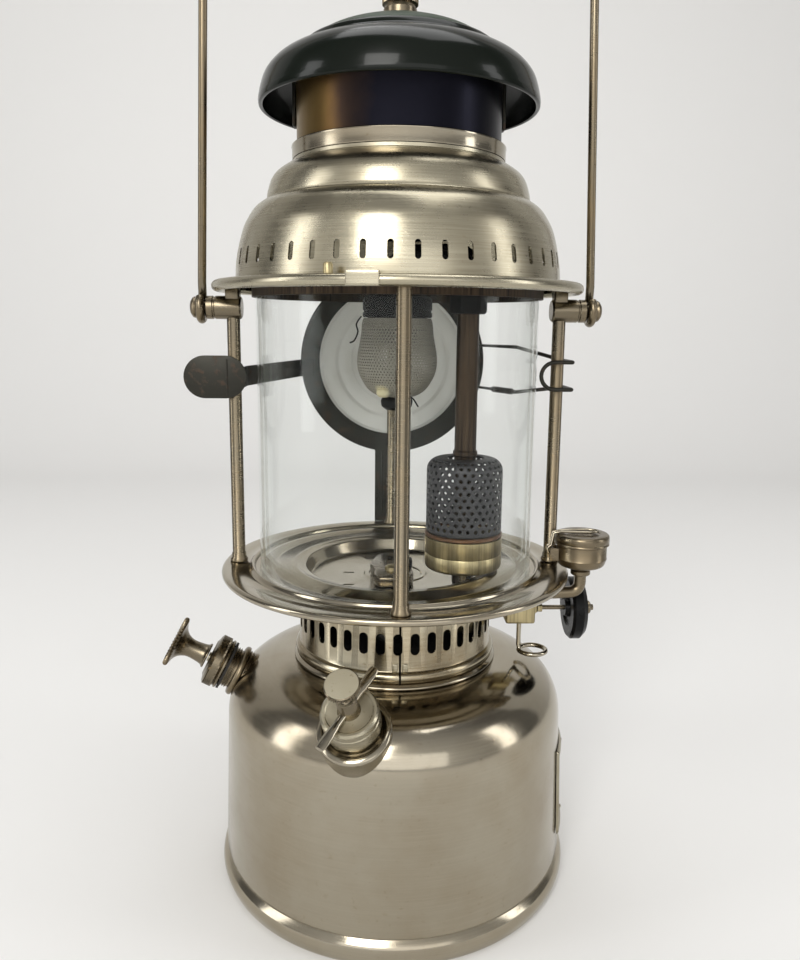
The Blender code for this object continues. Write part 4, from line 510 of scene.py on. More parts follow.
class LanternColours(bpy.types.PropertyGroup):
    polished_nickel: colour("Polished nickel", "Tank and bright parts", (0.38, 0.342, 0.268))
    satin_nickel: colour("Satin nickel", "Hood, ring and collar", (0.385, 0.352, 0.265))
    aged_nickel: colour("Aged nickel", "Posts, pump and bail", (0.175, 0.148, 0.105))
    tarnish: colour("Tarnish", "Patches of worn plating", (0.23, 0.17, 0.095))
    brass: colour("Brass", "Bearing block and preheater cup", (0.50, 0.42, 0.24))
    copper: colour("Copper", "Band over the preheater cup", (0.30, 0.17, 0.10))
    heat_gold: colour("Heat gold", "Straw and brown heat tint", (0.17, 0.11, 0.035))
    heat_blue: colour("Heat blue", "Dark blue heat tint", (0.010, 0.010, 0.016))
    dark_steel: colour("Dark steel", "Reflector frame, arm and clip", (0.024, 0.023, 0.019))
    rust: colour("Rust", "Speckles on the dark steel", (0.055, 0.032, 0.018))
    enamel_dark: colour("Dark enamel", "Lower dome of the cap", (0.003, 0.005, 0.003))
    enamel_green: colour("Green enamel", "Upper dome of the cap", (0.026, 0.042, 0.025))
    enamel_white: colour("White enamel", "Face of the reflector", (0.90, 0.89, 0.84))
    mantle: colour("Mantle", "Ash of the mantle", (0.25, 0.235, 0.19))
    knot: colour("Mantle knot", "Yellowish scorch on the mantle", (0.52, 0.47, 0.30))
    screen: colour("Screen", "Perforated screen of the preheater", (0.038, 0.038, 0.040))
    bakelite: colour("Bakelite", "Hand wheel", (0.005, 0.005, 0.005))
    # Soot black of the burner and its plug; the same black paints shade on the tank's deck and the collar's inner
    # faces.
    soot_and_shade: colour("Soot", "Burner and its plug", (0.006, 0.006, 0.006))
    dust: colour("Dust", "Grey film on the hand wheel and the soot", (0.030, 0.027, 0.024))
    rubber: colour("Rubber", "Gaskets", (0.018, 0.016, 0.014))
    leather: colour("Leather", "Pump's piston", (0.16, 0.09, 0.05))
    floor: colour("Floor", "Floor and backdrop", (0.80, 0.795, 0.785))


def shade_of(tone, share):
    """A lighter or darker shade of a colour."""
    return tuple(part * share for part in tone)


def sizes():
    return bpy.context.scene.lantern_sizes


def colours():
    return bpy.context.scene.lantern_colours


# Finishes

class Signal:
    """An output of a finish's nodes; arithmetic on it adds Math nodes."""

    def __init__(self, owner, socket):
        self.owner = owner
        self.socket = socket

    def math(self, operation, first, second):
        return self.owner.node("ShaderNodeMath", {"operation": operation}, {0: first, 1: second})

    def __add__(self, other):
        return self.math("ADD", self, other)

    def __radd__(self, other):
        return self.math("ADD", other, self)

    def __sub__(self, other):
        return self.math("SUBTRACT", self, other)

    def __rsub__(self, other):
        return self.math("SUBTRACT", other, self)

    def __mul__(self, other):
        return self.math("MULTIPLY", self, other)

    def __rmul__(self, other):
        return self.math("MULTIPLY", other, self)

    def __truediv__(self, other):
        return self.math("DIVIDE", self, other)

    def __pow__(self, other):
        return self.math("POWER", self, other)


class Finish:
    """A material with a Principled shader and the node patterns that feed it."""

    def __init__(self, name, base, roughness, metallic=0.0):
        self.material = bpy.data.materials.new(name)
        self.material.use_nodes = True
        self.tree = self.material.node_tree
        self.shader = self.tree.nodes["Principled BSDF"]
        self.output = self.tree.nodes["Material Output"]
        self.set("Base Color", base)
        self.set("Roughness", roughness)
        self.set("Metallic", metallic)
        self.place = self.node("ShaderNodeTexCoord", output="Object")
        FINISHES[name] = self.material

    def feed(self, socket, value):
        if isinstance(value, Signal):
            self.tree.links.new(value.socket, socket)
        elif hasattr(socket.default_value, "__len__"):
            size = len(socket.default_value)
            socket.default_value = (*value, 1.0)[:size] if len(value) < size else tuple(value)[:size]
        else:
            socket.default_value = value

    def node(self, kind, settings=None, inputs=None, output=0):
        node = self.tree.nodes.new(kind)
        for key, value in (settings or {}).items():
            if key == "stops":
                for share, _ in value[2:]:
                    node.color_ramp.elements.new(share)
                for stop, (share, tone) in zip(node.color_ramp.elements, value):
                    stop.position = share
                    stop.color = (*tone, 1.0)
            else:
                setattr(node, key, value)
        for key, value in (inputs or {}).items():
            self.feed(node.inputs[key], value)
        return Signal(self, node.outputs[output])

    def set(self, socket, value):
        self.feed(self.shader.inputs[socket], value)

    def stretched(self, x, y, z, vector=None):
        return self.node("ShaderNodeMapping", None, {"Vector": vector or self.place, "Scale": (x, y, z)})

    def noise(self, scale, detail=4.0, vector=None, rough=0.55):
        return self.node("ShaderNodeTexNoise", None,
                         {"Vector": vector or self.place, "Scale": scale, "Detail": detail,
                          "Roughness": rough})

    def ramp(self, factor, *stops):
        return self.node("ShaderNodeValToRGB", {"stops": stops}, {"Fac": factor})

    def mask(self, factor, start, end):
        """0 up to start and 1 past end."""
        return self.node("ShaderNodeMapRange", {"clamp": True},
                         {"Value": factor, "From Min": start, "From Max": end})

    def blend(self, factor, first, second):
        return self.node("ShaderNodeMix", {"data_type": "RGBA"}, {0: factor, 6: first, 7: second}, 2)

    def axis(self, name):
        return self.node("ShaderNodeSeparateXYZ", None, {0: self.place}, name)

    def bump(self, height, strength, distance=0.0005):
        self.set("Normal", self.node("ShaderNodeBump", None,
                                     {"Height": height, "Strength": strength, "Distance": distance}))


def make_nickel(name, base, roughness, worn, brushed, speckle):
    """Nickel plate: worn patches, fine brushing round the axis, and dark specks."""
    look = Finish(name, base, roughness, 1.0)
    patches = look.noise(28.0, 5.0)
    fine = look.noise(260.0, 3.0)
    lines = look.noise(1.0, 3.0, look.stretched(34.0, 34.0, 1900.0))
    specks = look.mask(look.noise(520.0, 2.0), 0.66, 0.72)
    age = look.mask(patches, 0.42, 0.75) * worn + specks * speckle
    tone = look.blend(age, base, colours().tarnish)
    look.set("Base Color", look.blend(look.mask(lines, 0.35, 0.75) * brushed, tone, shade_of(base, 1.25)))
    look.set("Roughness", roughness + 0.16 * look.mask(patches, 0.35, 0.8)
             + 0.10 * (lines - 0.5) + 0.08 * (fine - 0.5))
    look.bump(lines * brushed + fine * 0.25 + specks * 0.5, 0.12, 0.0002)


def make_metals():
    tones = colours()
    make_nickel("polished_nickel", tones.polished_nickel, 0.11, 0.45, 0.25, 0.25)
    make_nickel("satin_nickel", tones.satin_nickel, 0.22, 0.40, 0.85, 0.20)
    make_nickel("aged_nickel", tones.aged_nickel, 0.22, 0.70, 0.30, 0.55)
    make_nickel("tarnished_nickel", tones.satin_nickel, 0.16, 1.15, 0.35, 0.45)
    make_nickel("matte_nickel", shade_of(tones.satin_nickel, 1.35), 0.48, 0.30, 0.10, 0.35)

    brass = Finish("brass", tones.brass, 0.34, 1.0)
    streaks = brass.noise(1.0, 4.0, brass.stretched(900.0, 900.0, 30.0))
    brass.set("Base Color", brass.blend(brass.mask(streaks, 0.4, 0.7), tones.brass,
                                        shade_of(tones.brass, 0.55)))
    brass.set("Roughness", 0.26 + 0.22 * streaks)
    brass.bump(streaks, 0.25, 0.0002)

    copper = Finish("copper", tones.copper, 0.42, 1.0)
    cloud = copper.noise(180.0)
    copper.set("Base Color", copper.blend(cloud, tones.copper, shade_of(tones.copper, 0.4)))
    copper.bump(cloud, 0.2)

    steel = Finish("dark_steel", tones.dark_steel, 0.42, 0.85)
    rust = steel.mask(steel.noise(210.0, 6.0), 0.56, 0.68)
    smear = steel.noise(46.0, 5.0)
    dull = steel.blend(smear, tones.dark_steel, shade_of(tones.dark_steel, 1.7))
    steel.set("Base Color", steel.blend(rust, dull, tones.rust))
    steel.set("Roughness", 0.34 + 0.20 * smear + 0.25 * rust)
    steel.set("Metallic", 0.85 - 0.6 * rust)
    steel.bump(rust + smear * 0.4, 0.2, 0.0003)

    screen = Finish("screen_grey", tones.screen, 0.44, 0.5)
    dulled = screen.noise(240.0, 5.0)
    screen.set("Base Color", screen.blend(dulled, tones.screen, shade_of(tones.screen, 1.7)))
    screen.set("Roughness", 0.36 + 0.2 * dulled)
    screen.bump(dulled, 0.15, 0.0003)

    heat = Finish("heat_blued", tones.heat_gold, 0.30, 0.95)
    across = heat.axis("X")
    drift = heat.noise(30.0, 4.0)
    tint = heat.mask(across + 0.03 * (drift - 0.5), -0.042, -0.008)
    heat.set("Base Color", heat.ramp(tint, (0.0, tuple(tones.heat_gold)), (0.35, (0.105, 0.06, 0.022)),
                                     (0.6, (0.045, 0.028, 0.020)), (1.0, tuple(tones.heat_blue))))
    heat.set("Roughness", 0.24 + 0.2 * drift)
    heat.bump(heat.noise(1.0, 3.0, heat.stretched(900.0, 900.0, 40.0)), 0.12, 0.0002)

    scorched = Finish("scorched", (0.07, 0.05, 0.034), 0.38, 0.8)
    stripes = scorched.noise(1.0, 4.0, scorched.stretched(700.0, 700.0, 26.0))
    scorched.set("Base Color", scorched.ramp(stripes, (0.3, (0.014, 0.011, 0.009)),
                                             (0.7, (0.085, 0.058, 0.036))))
    scorched.set("Roughness", 0.30 + 0.25 * stripes)
    scorched.bump(stripes, 0.15, 0.0002)


def make_coats():
    tones = colours()
    cap = Finish("enamel_cap", tones.enamel_dark, 0.06)
    out = cap.node("ShaderNodeVectorMath", {"operation": "LENGTH"},
                   {0: cap.stretched(1.0, 1.0, 0.0)}, "Value")
    height = cap.axis("Z")
    upper = (1.0 - cap.mask(out, 0.0386, 0.0392)) * cap.mask(height, 0.3770, 0.3780)
    wave = cap.noise(70.0, 3.0)
    cap.set("Base Color", cap.blend(upper, tones.enamel_dark, tones.enamel_green))
    cap.set("Roughness", 0.16 + 0.24 * upper + 0.08 * wave)
    cap.set("Coat Weight", 0.16 - 0.14 * upper)
    cap.set("Coat Roughness", 0.05)
    cap.set("Specular IOR Level", 0.14)
    cap.bump(wave, 0.05, 0.001)

    white = Finish("enamel_white", tones.enamel_white, 0.22)
    stain = white.mask(white.noise(60.0, 5.0), 0.5, 0.8)
    white.set("Base Color", white.blend(stain * 0.35, tones.enamel_white, (0.60, 0.56, 0.46)))
    white.set("Coat Weight", 0.6)
    white.bump(white.noise(160.0, 2.0), 0.05)

    bakelite = Finish("bakelite", tones.bakelite, 0.25)
    bakelite.set("Specular IOR Level", 0.12)
    dust = bakelite.noise(300.0, 4.0)
    bakelite.set("Roughness", 0.18 + 0.25 * dust)
    film = bakelite.mask(dust, 0.55, 0.8) * 0.4
    bakelite.set("Base Color", bakelite.blend(film, tones.bakelite, tones.dust))
    bakelite.bump(dust, 0.06)

    # The burner's soot finish, also used as painted shade on the tank's deck inside the collar and on the collar's
    # inner faces.
    soot_and_shade = Finish("burner_black", tones.soot_and_shade, 0.55)
    soot_and_shade.set("Specular IOR Level", 0.15)
    grain = soot_and_shade.noise(420.0, 6.0)
    soot_and_shade.set("Base Color", soot_and_shade.blend(soot_and_shade.mask(grain, 0.5, 0.8), tones.soot_and_shade, tones.dust))
    soot_and_shade.set("Roughness", 0.42 + 0.35 * grain)
    soot_and_shade.bump(grain, 0.4, 0.0004)

    seal = Finish("seal", tones.rubber, 0.8)
    pores = seal.noise(500.0, 4.0)
    seal.set("Roughness", 0.65 + 0.3 * pores)
    seal.bump(pores, 0.3)

    leather = Finish("leather", tones.leather, 0.7)
    hide = leather.noise(600.0, 5.0)
    leather.set("Base Color", leather.blend(hide, tones.leather, (0.09, 0.05, 0.03)))
    leather.bump(hide, 0.3)

    mantle = Finish("mantle", tones.mantle, 0.95)
    ash = mantle.noise(90.0, 5.0)
    threads = mantle.noise(900.0, 2.0)
    near = mantle.node("ShaderNodeVectorMath", {"operation": "DISTANCE"},
                       {0: mantle.place, 1: (-0.0075, -0.0115, 0.2305)}, "Value")
    knot = 1.0 - mantle.mask(near + 0.004 * (ash - 0.5), 0.0025, 0.0045)
    tone = mantle.blend(ash, tones.mantle, shade_of(tones.mantle, 0.72))
    mantle.set("Base Color", mantle.blend(knot, tone, tones.knot))
    mantle.bump(threads, 0.5, 0.0003)

    glass = Finish("glass", (0.93, 0.97, 0.95), 0.02, 1.0)
    haze = glass.noise(24.0, 4.0)
    glass.set("Roughness", 0.015 + 0.05 * glass.mask(haze, 0.5, 0.8))
    facing = glass.node("ShaderNodeLayerWeight", None, {"Blend": 0.5}, "Facing")
    clear = glass.node("ShaderNodeBsdfTransparent", None, {"Color": (0.985, 0.99, 0.987, 1.0)})
    mix = glass.node("ShaderNodeMixShader", None,
                     {0: 0.007 + 0.70 * facing ** 4.0, 1: clear, 2: Signal(glass, glass.shader.outputs[0])})
    glass.tree.links.new(mix.socket, glass.output.inputs["Surface"])


class LanternTool:
    """What every operator of this panel shares."""

    bl_options = {"REGISTER", "UNDO"}

    def execute(self, context):
        self.build()
        return {"FINISHED"}


class LANTERN_OT_finishes(LanternTool, bpy.types.Operator):
    """Make the materials of every surface"""

    bl_idname = "lantern.finishes"
    bl_label = "Finishes"

    def build(self):
        make_metals()
        make_coats()


# Tank and badge plate

def shoulder(wall, deck, steps, power=2.4):
    """The shoulder from the deck's edge down to the wall."""
    start = sizes().shoulder_height
    rise = high("tank").z - start
    points = []
    for k in range(steps + 1):
        angle = math.pi / 2 * (1.0 - k / steps)
        out = max(math.cos(angle), 0.0) ** (2 / power)
        points.append((deck + (wall - deck) * out, start + rise * math.sin(angle) ** (2 / power)))
    return points


def size_at(height):
    """The tank wall's radius at a height under the shoulder."""
    size = sizes()
    share = (height - size.tank_bead) / (size.shoulder_height - size.tank_bead)
    return size.tank_foot + (size.tank_wall - size.tank_foot) * share


class LANTERN_OT_tank(LanternTool, bpy.types.Operator):
    """Model the fuel tank and its blank badge plate"""

    bl_idname = "lantern.tank"
    bl_label = "Tank"

    pump_bore: length("Pump bore", "Radius of the bore for the pump", 0.0096)
    pump_depth: length("Pump bore depth", "Depth of the bore for the pump", 0.068)
    filler_bore: length("Filler bore", "Radius of the bore under the filler", 0.0078)
    filler_depth: length("Filler bore depth", "Depth of the bore under the filler", 0.020)
    overrun: length("Overrun", "How far a cut starts outside the wall", 0.004)
    # Radius of the deck inside the collar that is painted black as painted shade, where the collar and gallery
    # plate keep the light out.
    painted_shade_deck: length("Dark deck", "Radius of the sooty deck inside the collar", 0.040)
    badge_bearing: turning("Badge bearing", "How far the badge stands round from the front", 82.0)

    def build(self):
        size = sizes()
        bead, foot, wall = size.tank_bead, size.tank_foot, size.tank_wall
        top, bulge = high("tank").z, high("tank").x
        side = [(0.0, top)] + shoulder(wall, size.deck_radius, 36)
        side += [(foot - (foot - wall) * 0.05, bead * 1.35), (foot - GAP * 2, bead * 1.08)]
        side += smooth([(foot + GAP, bead * 0.99), (bulge - GAP, bead * 0.80), (bulge, bead * 0.50),
                        (bulge - GAP * 4, bead * 0.16), (foot - GAP * 2, 0.0)], 5)
        side += [(foot - bead * 0.3, 0.0), (foot - bead * 0.5, bead * 0.25), (0.0, bead * 0.25)]
        tank = spun("fuel_tank", side, FINE, 50.0)
        for joint, bore, depth in (("pump_cap_turn", self.pump_bore, self.pump_depth),
                                   ("filler_turn", self.filler_bore, self.filler_depth)):
            reamer = spun("reamer", rod_line(bore, self.overrun, -depth), SMALL)
            cut(tank, place(reamer, joint_frame(joint)))
        shade(tank, 50.0)
        dress(tank, "tank")
        # Painted shade: the deck inside the collar takes the black burner finish, standing in for the shade under
        # the collar and plate.
        paint_faces(tank, "burner_black",
                    lambda centre, normal: normal.z > 0.9 and centre.xy.length < self.painted_shade_deck)
        self.badge()

    def badge(self):
        """A curved plate with a raised border and two rivets."""
        bearing = self.badge_bearing
        bottom, top = levels("badge_plate")
        half = (high("badge_plate").y - low("badge_plate").y) / 2 / size_at(bottom)
        badge = grid("blank_badge", 40, 44)
        for vert in badge.data.vertices:
            x, y = vert.co.x, vert.co.y
            height = bottom + (top - bottom) * (y + 1) / 2
            rim = max(abs(x), abs(y))
            lift = 0.0 if rim > 0.97 else 0.0011 if rim > 0.86 else 0.0002 if rim > 0.80 else 0.0005
            if abs(x) ** 6 + abs(y) ** 6 > 1.6:
                x, lift = x * 0.985, 0.0
            vert.co = around(size_at(height) + GAP + lift, bearing + half * x, height)
        edit(badge)
        bpy.ops.mesh.select_all(action="SELECT")
        bpy.ops.mesh.normals_make_consistent(inside=False)
        leave()
        shade(badge, 60.0)
        dress(badge, "badge_plate", look="tarnished_nickel")
        inset = 0.0032
        for name, height in (("badge_rivet_low", bottom + inset), ("badge_rivet_high", top - inset)):
            rivet = spun(name, arc(0.0, 0.0, 0.0011, 0.0, 90.0, 6), THIN)
            place(rivet, Matrix.Translation(around(size_at(height) + GAP * 3, bearing, height))
                  @ Matrix.Rotation(bearing, 4, "Z") @ UPRIGHT)
            trim(rivet, "tank")


# Pump

def threads(radius, depth, bottom, top, pitch):
    """The outline of a threaded wall, from the bottom up."""
    line = []
    turns = max(round((top - bottom) / pitch), 1)
    pitch = (top - bottom) / turns
    for k in range(turns):
        z = bottom + pitch * k
        line += [(radius - depth, z), (radius - depth, z + pitch * 0.2), (radius, z + pitch * 0.5),
                 (radius, z + pitch * 0.7)]
    return line + [(radius - depth, top)]


class LANTERN_OT_pump(LanternTool, bpy.types.Operator):
    """Model the air pump: boss, threaded barrel, knurled cap, rod and knob"""

    bl_idname = "lantern.pump"
    bl_label = "Air pump"

    barrel: length("Barrel radius", "Radius of the pump's barrel", 0.0100)
    wall: length("Barrel wall", "Thickness of the barrel with its threads", 0.0012)
    deep: length("Barrel depth", "How far the barrel reaches into the tank", 0.066)
    cap: length("Cap radius", "Radius of the pump's cap", 0.0124)
    cap_top: length("Cap top", "Height of the cap's face along the axis", 0.0160)
    cap_height: length("Cap height", "Height of the cap", 0.0085)
    knob: length("Knob radius", "Radius of the pump's knob", 0.0123)
    rod: length("Rod radius", "Radius of the pump's rod", 0.0023)
    rod_end: length("Rod depth", "How deep the rod's end lies", 0.0477)
    reach: length("Knob reach", "How far the knob stands out along the pump's axis", 0.0352)

    def build(self):
        axis = joint_frame("pump_cap_turn")
        self.make_barrel(axis)
        self.make_cap(axis)
        self.make_plunger(axis)
        finish(frame["nodes"]["pump_valve"], SLOT["pump_valve"])

    def make_barrel(self, axis):
        barrel, bore, depth = self.barrel, self.barrel - self.wall, sizes().thread_depth
        rise = mm((-1.2, -14.0), (4.6, -12.0), (1.8, -7.0), (0.9, -3.6), r=barrel)
        crest = mm((2.0, -0.4), (2.2, 0.8), (1.4, 2.0), (-0.6, 2.4), r=barrel)
        line = smooth(rise, 5) + threads(barrel + 0.0009, 0.0006, -0.0034, -0.0008, 0.0013)
        boss = place(spun("pump_seat", line + smooth(crest, 4), ROUND, 50.0), axis)
        dress(boss, "pump_boss", look="aged_nickel")
        line = smooth(mm((0.0, 3.4), (2.2, 2.8), (3.4, 0.4), (3.2, -2.0), (1.0, -4.0), (0.0, -4.2)), 5)
        blob = spun("solder_blob", line, SMALL, 80.0)
        place(blob, Matrix.Translation(axis @ Vector((0.0045, -0.0122, -0.0048))) @ Matrix.Scale(0.8, 4))
        trim(blob, "pump_boss", "dark_steel")
        low_cap, rim = self.cap_top - self.cap_height, self.cap_top - 0.0025
        line = [(bore, -self.deep), (barrel - depth, -self.deep)]
        line += threads(barrel, depth, 0.0030, low_cap + 0.002, 0.0011)
        line += [(barrel - depth, rim), (bore, rim), (bore, -self.deep)]
        dress(place(spun("pump_tube", line, ROUND), axis), "pump_barrel")
        line = mm((0.0, -1.6), (1.6, -1.4), (1.8, -0.4), (0.0, -0.3), (0.0, -1.6), r=barrel, z=low_cap)
        trim(place(spun("pump_washer", line, ROUND), axis), "pump_cap", "seal")

    def make_cap(self, axis):
        cap, cap_top, columns, rows = self.cap, self.cap_top, 72, 6
        cap_low, bore, inner = cap_top - self.cap_height, self.rod + GAP, self.barrel + GAP
        low_edge, high_edge, ceiling = cap_low + 0.0024, cap_top - 0.0016, cap_top - 0.0022
        pitch = (high_edge - low_edge) / rows
        line = [(bore, cap_top)] + mm((-4.2, 0.0), (-3.0, -0.6), (-1.2, -1.1), (0.0, -1.8), r=cap, z=cap_top)
        line += [(cap, high_edge - pitch * k) for k in range(1, rows + 1)]
        line += mm((-0.8, 2.2), (-1.2, 1.6), (-0.4, 1.2), (-0.4, 0.4), (-1.0, 0.0), r=cap, z=cap_low)
        line += [(inner, cap_low), (inner, ceiling), (bore, ceiling), (bore, cap_top)]
        piece = spun("pump_screw_cap", line, columns, 15.0)
        knurl(piece, columns, -sizes().knurl_depth,
              lambda co: low_edge + GAP < co.z < high_edge - GAP and co.xy.length > cap - GAP,
              lambda z: round((high_edge - z) / pitch))
        dress(place(piece, axis), "pump_cap")

    def make_plunger(self, axis):
        knob, reach, neck = self.knob, self.reach, self.cap_top + 0.0012
        line = [(0.0, reach), (knob - 0.0022, reach - 0.0004)]
        line += arc(knob - 0.0012, reach - 0.0013, 0.0012, 80.0, -60.0, 6)
        flare = mm((10.7, -2.6), (7.8, -3.6), (5.6, -5.6), (4.4, -8.6), (4.4, -12.0), z=reach)
        line += smooth(flare + mm((5.0, 2.0), (6.0, 0.8), (5.9, 0.0), z=neck), 6) + [(0.0, neck)]
        piece = spun("pump_handle", line, 88, 30.0)
        knurl(piece, 88, -0.0009, lambda co: co.z > reach - 0.0026 and co.xy.length > knob - 0.0010)
        dress(place(piece, axis), "pump_knob")
        shaft = spun("pump_shaft", rod_line(self.rod, -self.rod_end, neck - GAP), SMALL)
        dress(place(shaft, axis), "pump_rod")
        line = mm((0.0, -54.0), (7.2, -54.0), (8.5, -53.0), (8.5, -48.0), (6.0, -48.5), (0.0, -48.5))
        dress(place(spun("pump_leather", line, SMALL), axis), "pump_piston")


# Filler

class LANTERN_OT_filler(LanternTool, bpy.types.Operator):
    """Model the filler neck, its cap with the T bar, and the vent screw"""

    bl_idname = "lantern.filler"
    bl_label = "Filler"

    neck: length("Neck radius", "Radius of the threaded filler neck", 0.0100)
    cap: length("Cap radius", "Radius of the filler cap", 0.01185)
    top: length("Cap top", "Height of the cap's face along the filler's axis", 0.0160)
    hub: length("Hub height", "Height of the hub over the cap's face", 0.0092)
    reach: length("Bar reach", "Half the T bar's length", 0.0200)
    vent: length("Vent head radius", "Radius of the vent screw's knurled head", 0.0071)
    vent_top: length("Vent top", "Height of the vent screw's head along the axis", 0.0350)
    vent_thick: length("Vent head thickness", "Thickness of the vent screw's head", 0.0030)

    def build(self):
        axis = joint_frame("filler_turn")
        up = (axis @ Vector((0.0, 0.0, 1.0, 0.0))).xyz
        neck, bore = self.neck, 0.0080
        line = mm((8.0, -8.5), (15.2, -8.5), (15.2, -1.0))
        line += smooth(mm((15.6, 0.6), (15.4, 2.2), (13.8, 3.0), (12.6, 2.6), (11.8, 1.6), (10.6, 1.4)), 4)
        line += threads(neck, sizes().thread_depth, 0.0020, 0.0066, 0.0011)
        line += mm((9.2, 7.0), (8.0, 7.0), (8.0, -8.5))
        dress(place(spun("filler_flange", line, ROUND, 50.0), axis), "filler_neck")
        seal = spun("filler_washer", ring_line(bore, neck, 0.0073, 0.0085), SMALL)
        dress(place(seal, axis), "filler_gasket")
        cap = self.make_cap(axis)
        self.make_bar(axis)
        vent = self.make_vent(axis)
        for piece in (cap, vent):
            paint_faces(piece, "matte_nickel", lambda centre, normal: normal.dot(up) > 0.97)
        face = axis @ Vector((0.0, 0.0, self.top + GAP))
        paint_faces(cap, "aged_nickel",
                    lambda centre, normal: (centre - face).dot(up) > 0.0 and normal.dot(up) < 0.9)

    def make_cap(self, axis):
        cap, top, inner, ceiling = self.cap, self.top, self.neck + GAP, 0.0088
        line = mm((0.0, -2.6), (3.0, -2.6), (3.0, 0.0), (3.8, 0.0), (4.2, -0.5), z=top + self.hub)
        line += mm((4.2, 1.2), (4.8, 0.2), z=top)
        line += mm((-2.4, 0.0), (-2.0, 0.25), (-0.8, 0.25), (0.0, -0.6), (0.0, -3.0), (-0.3, -3.3),
                   (-0.3, -3.8), (0.0, -4.1), (0.0, -9.6), (-0.5, -10.0), r=cap, z=top)
        line += [(inner, top - 0.0100), (inner, ceiling), (0.0, ceiling)]
        piece = place(spun("filler_lid", line, 120, 40.0), axis)
        dress(piece, "filler_cap")
        return piece

    def make_bar(self, axis):
        reach, height, bow, halves = self.reach, self.top + 0.0018, 0.0011, 12
        points = [(reach * k / halves, 0.0, height + bow * (k / halves) ** 2)
                  for k in range(-halves, halves + 1)]
        bar = tube("filler_handle", points, 0.0017, sides=6)
        for share, width, flat in ((0.42, 1.14, 0.88), (0.62, 1.10, 0.80), (0.80, 1.04, 0.82),
                                   (0.97, 0.78, 0.85)):
            select_verts(bar, lambda co, least=share * reach: abs(co.x) > least)
            bpy.ops.transform.resize(value=(1.0, width, flat),
                                     center_override=(0.0, 0.0, height + bow * share ** 2))
            leave()
        place(bar, axis @ Matrix.Rotation(math.radians(70.0), 4, "Z"))
        dress(bar, "filler_bar")

    def make_vent(self, axis):
        vent, top, thick, rows, columns = self.vent, self.vent_top, self.vent_thick, 3, 72
        stem, hub_top = 0.0027, self.top + self.hub
        line = [(0.0, top)] + mm((-0.5, 0.0), (-0.1, -0.3), r=vent, z=top)
        line += [(vent, top - 0.0008 - (thick - 0.0012) * k / rows) for k in range(rows + 1)]
        line += [(vent - 0.0010, top - thick), (0.0034, top - thick), (stem, top - thick - 0.0006)]
        line += reversed(threads(stem, 0.0003, hub_top - 0.0020, top - thick - 0.0009, 0.0007))
        line += [(0.0, hub_top - 0.0022)]
        piece = spun("vent_head", line, columns, 20.0)
        knurl(piece, columns, -sizes().knurl_depth * 0.8,
              lambda co: top - thick < co.z < top - 0.0004 and co.xy.length > vent - 0.0003)
        place(piece, axis)
        dress(piece, "vent_screw", look="aged_nickel")
        return piece


# Collar, gallery plate and posts

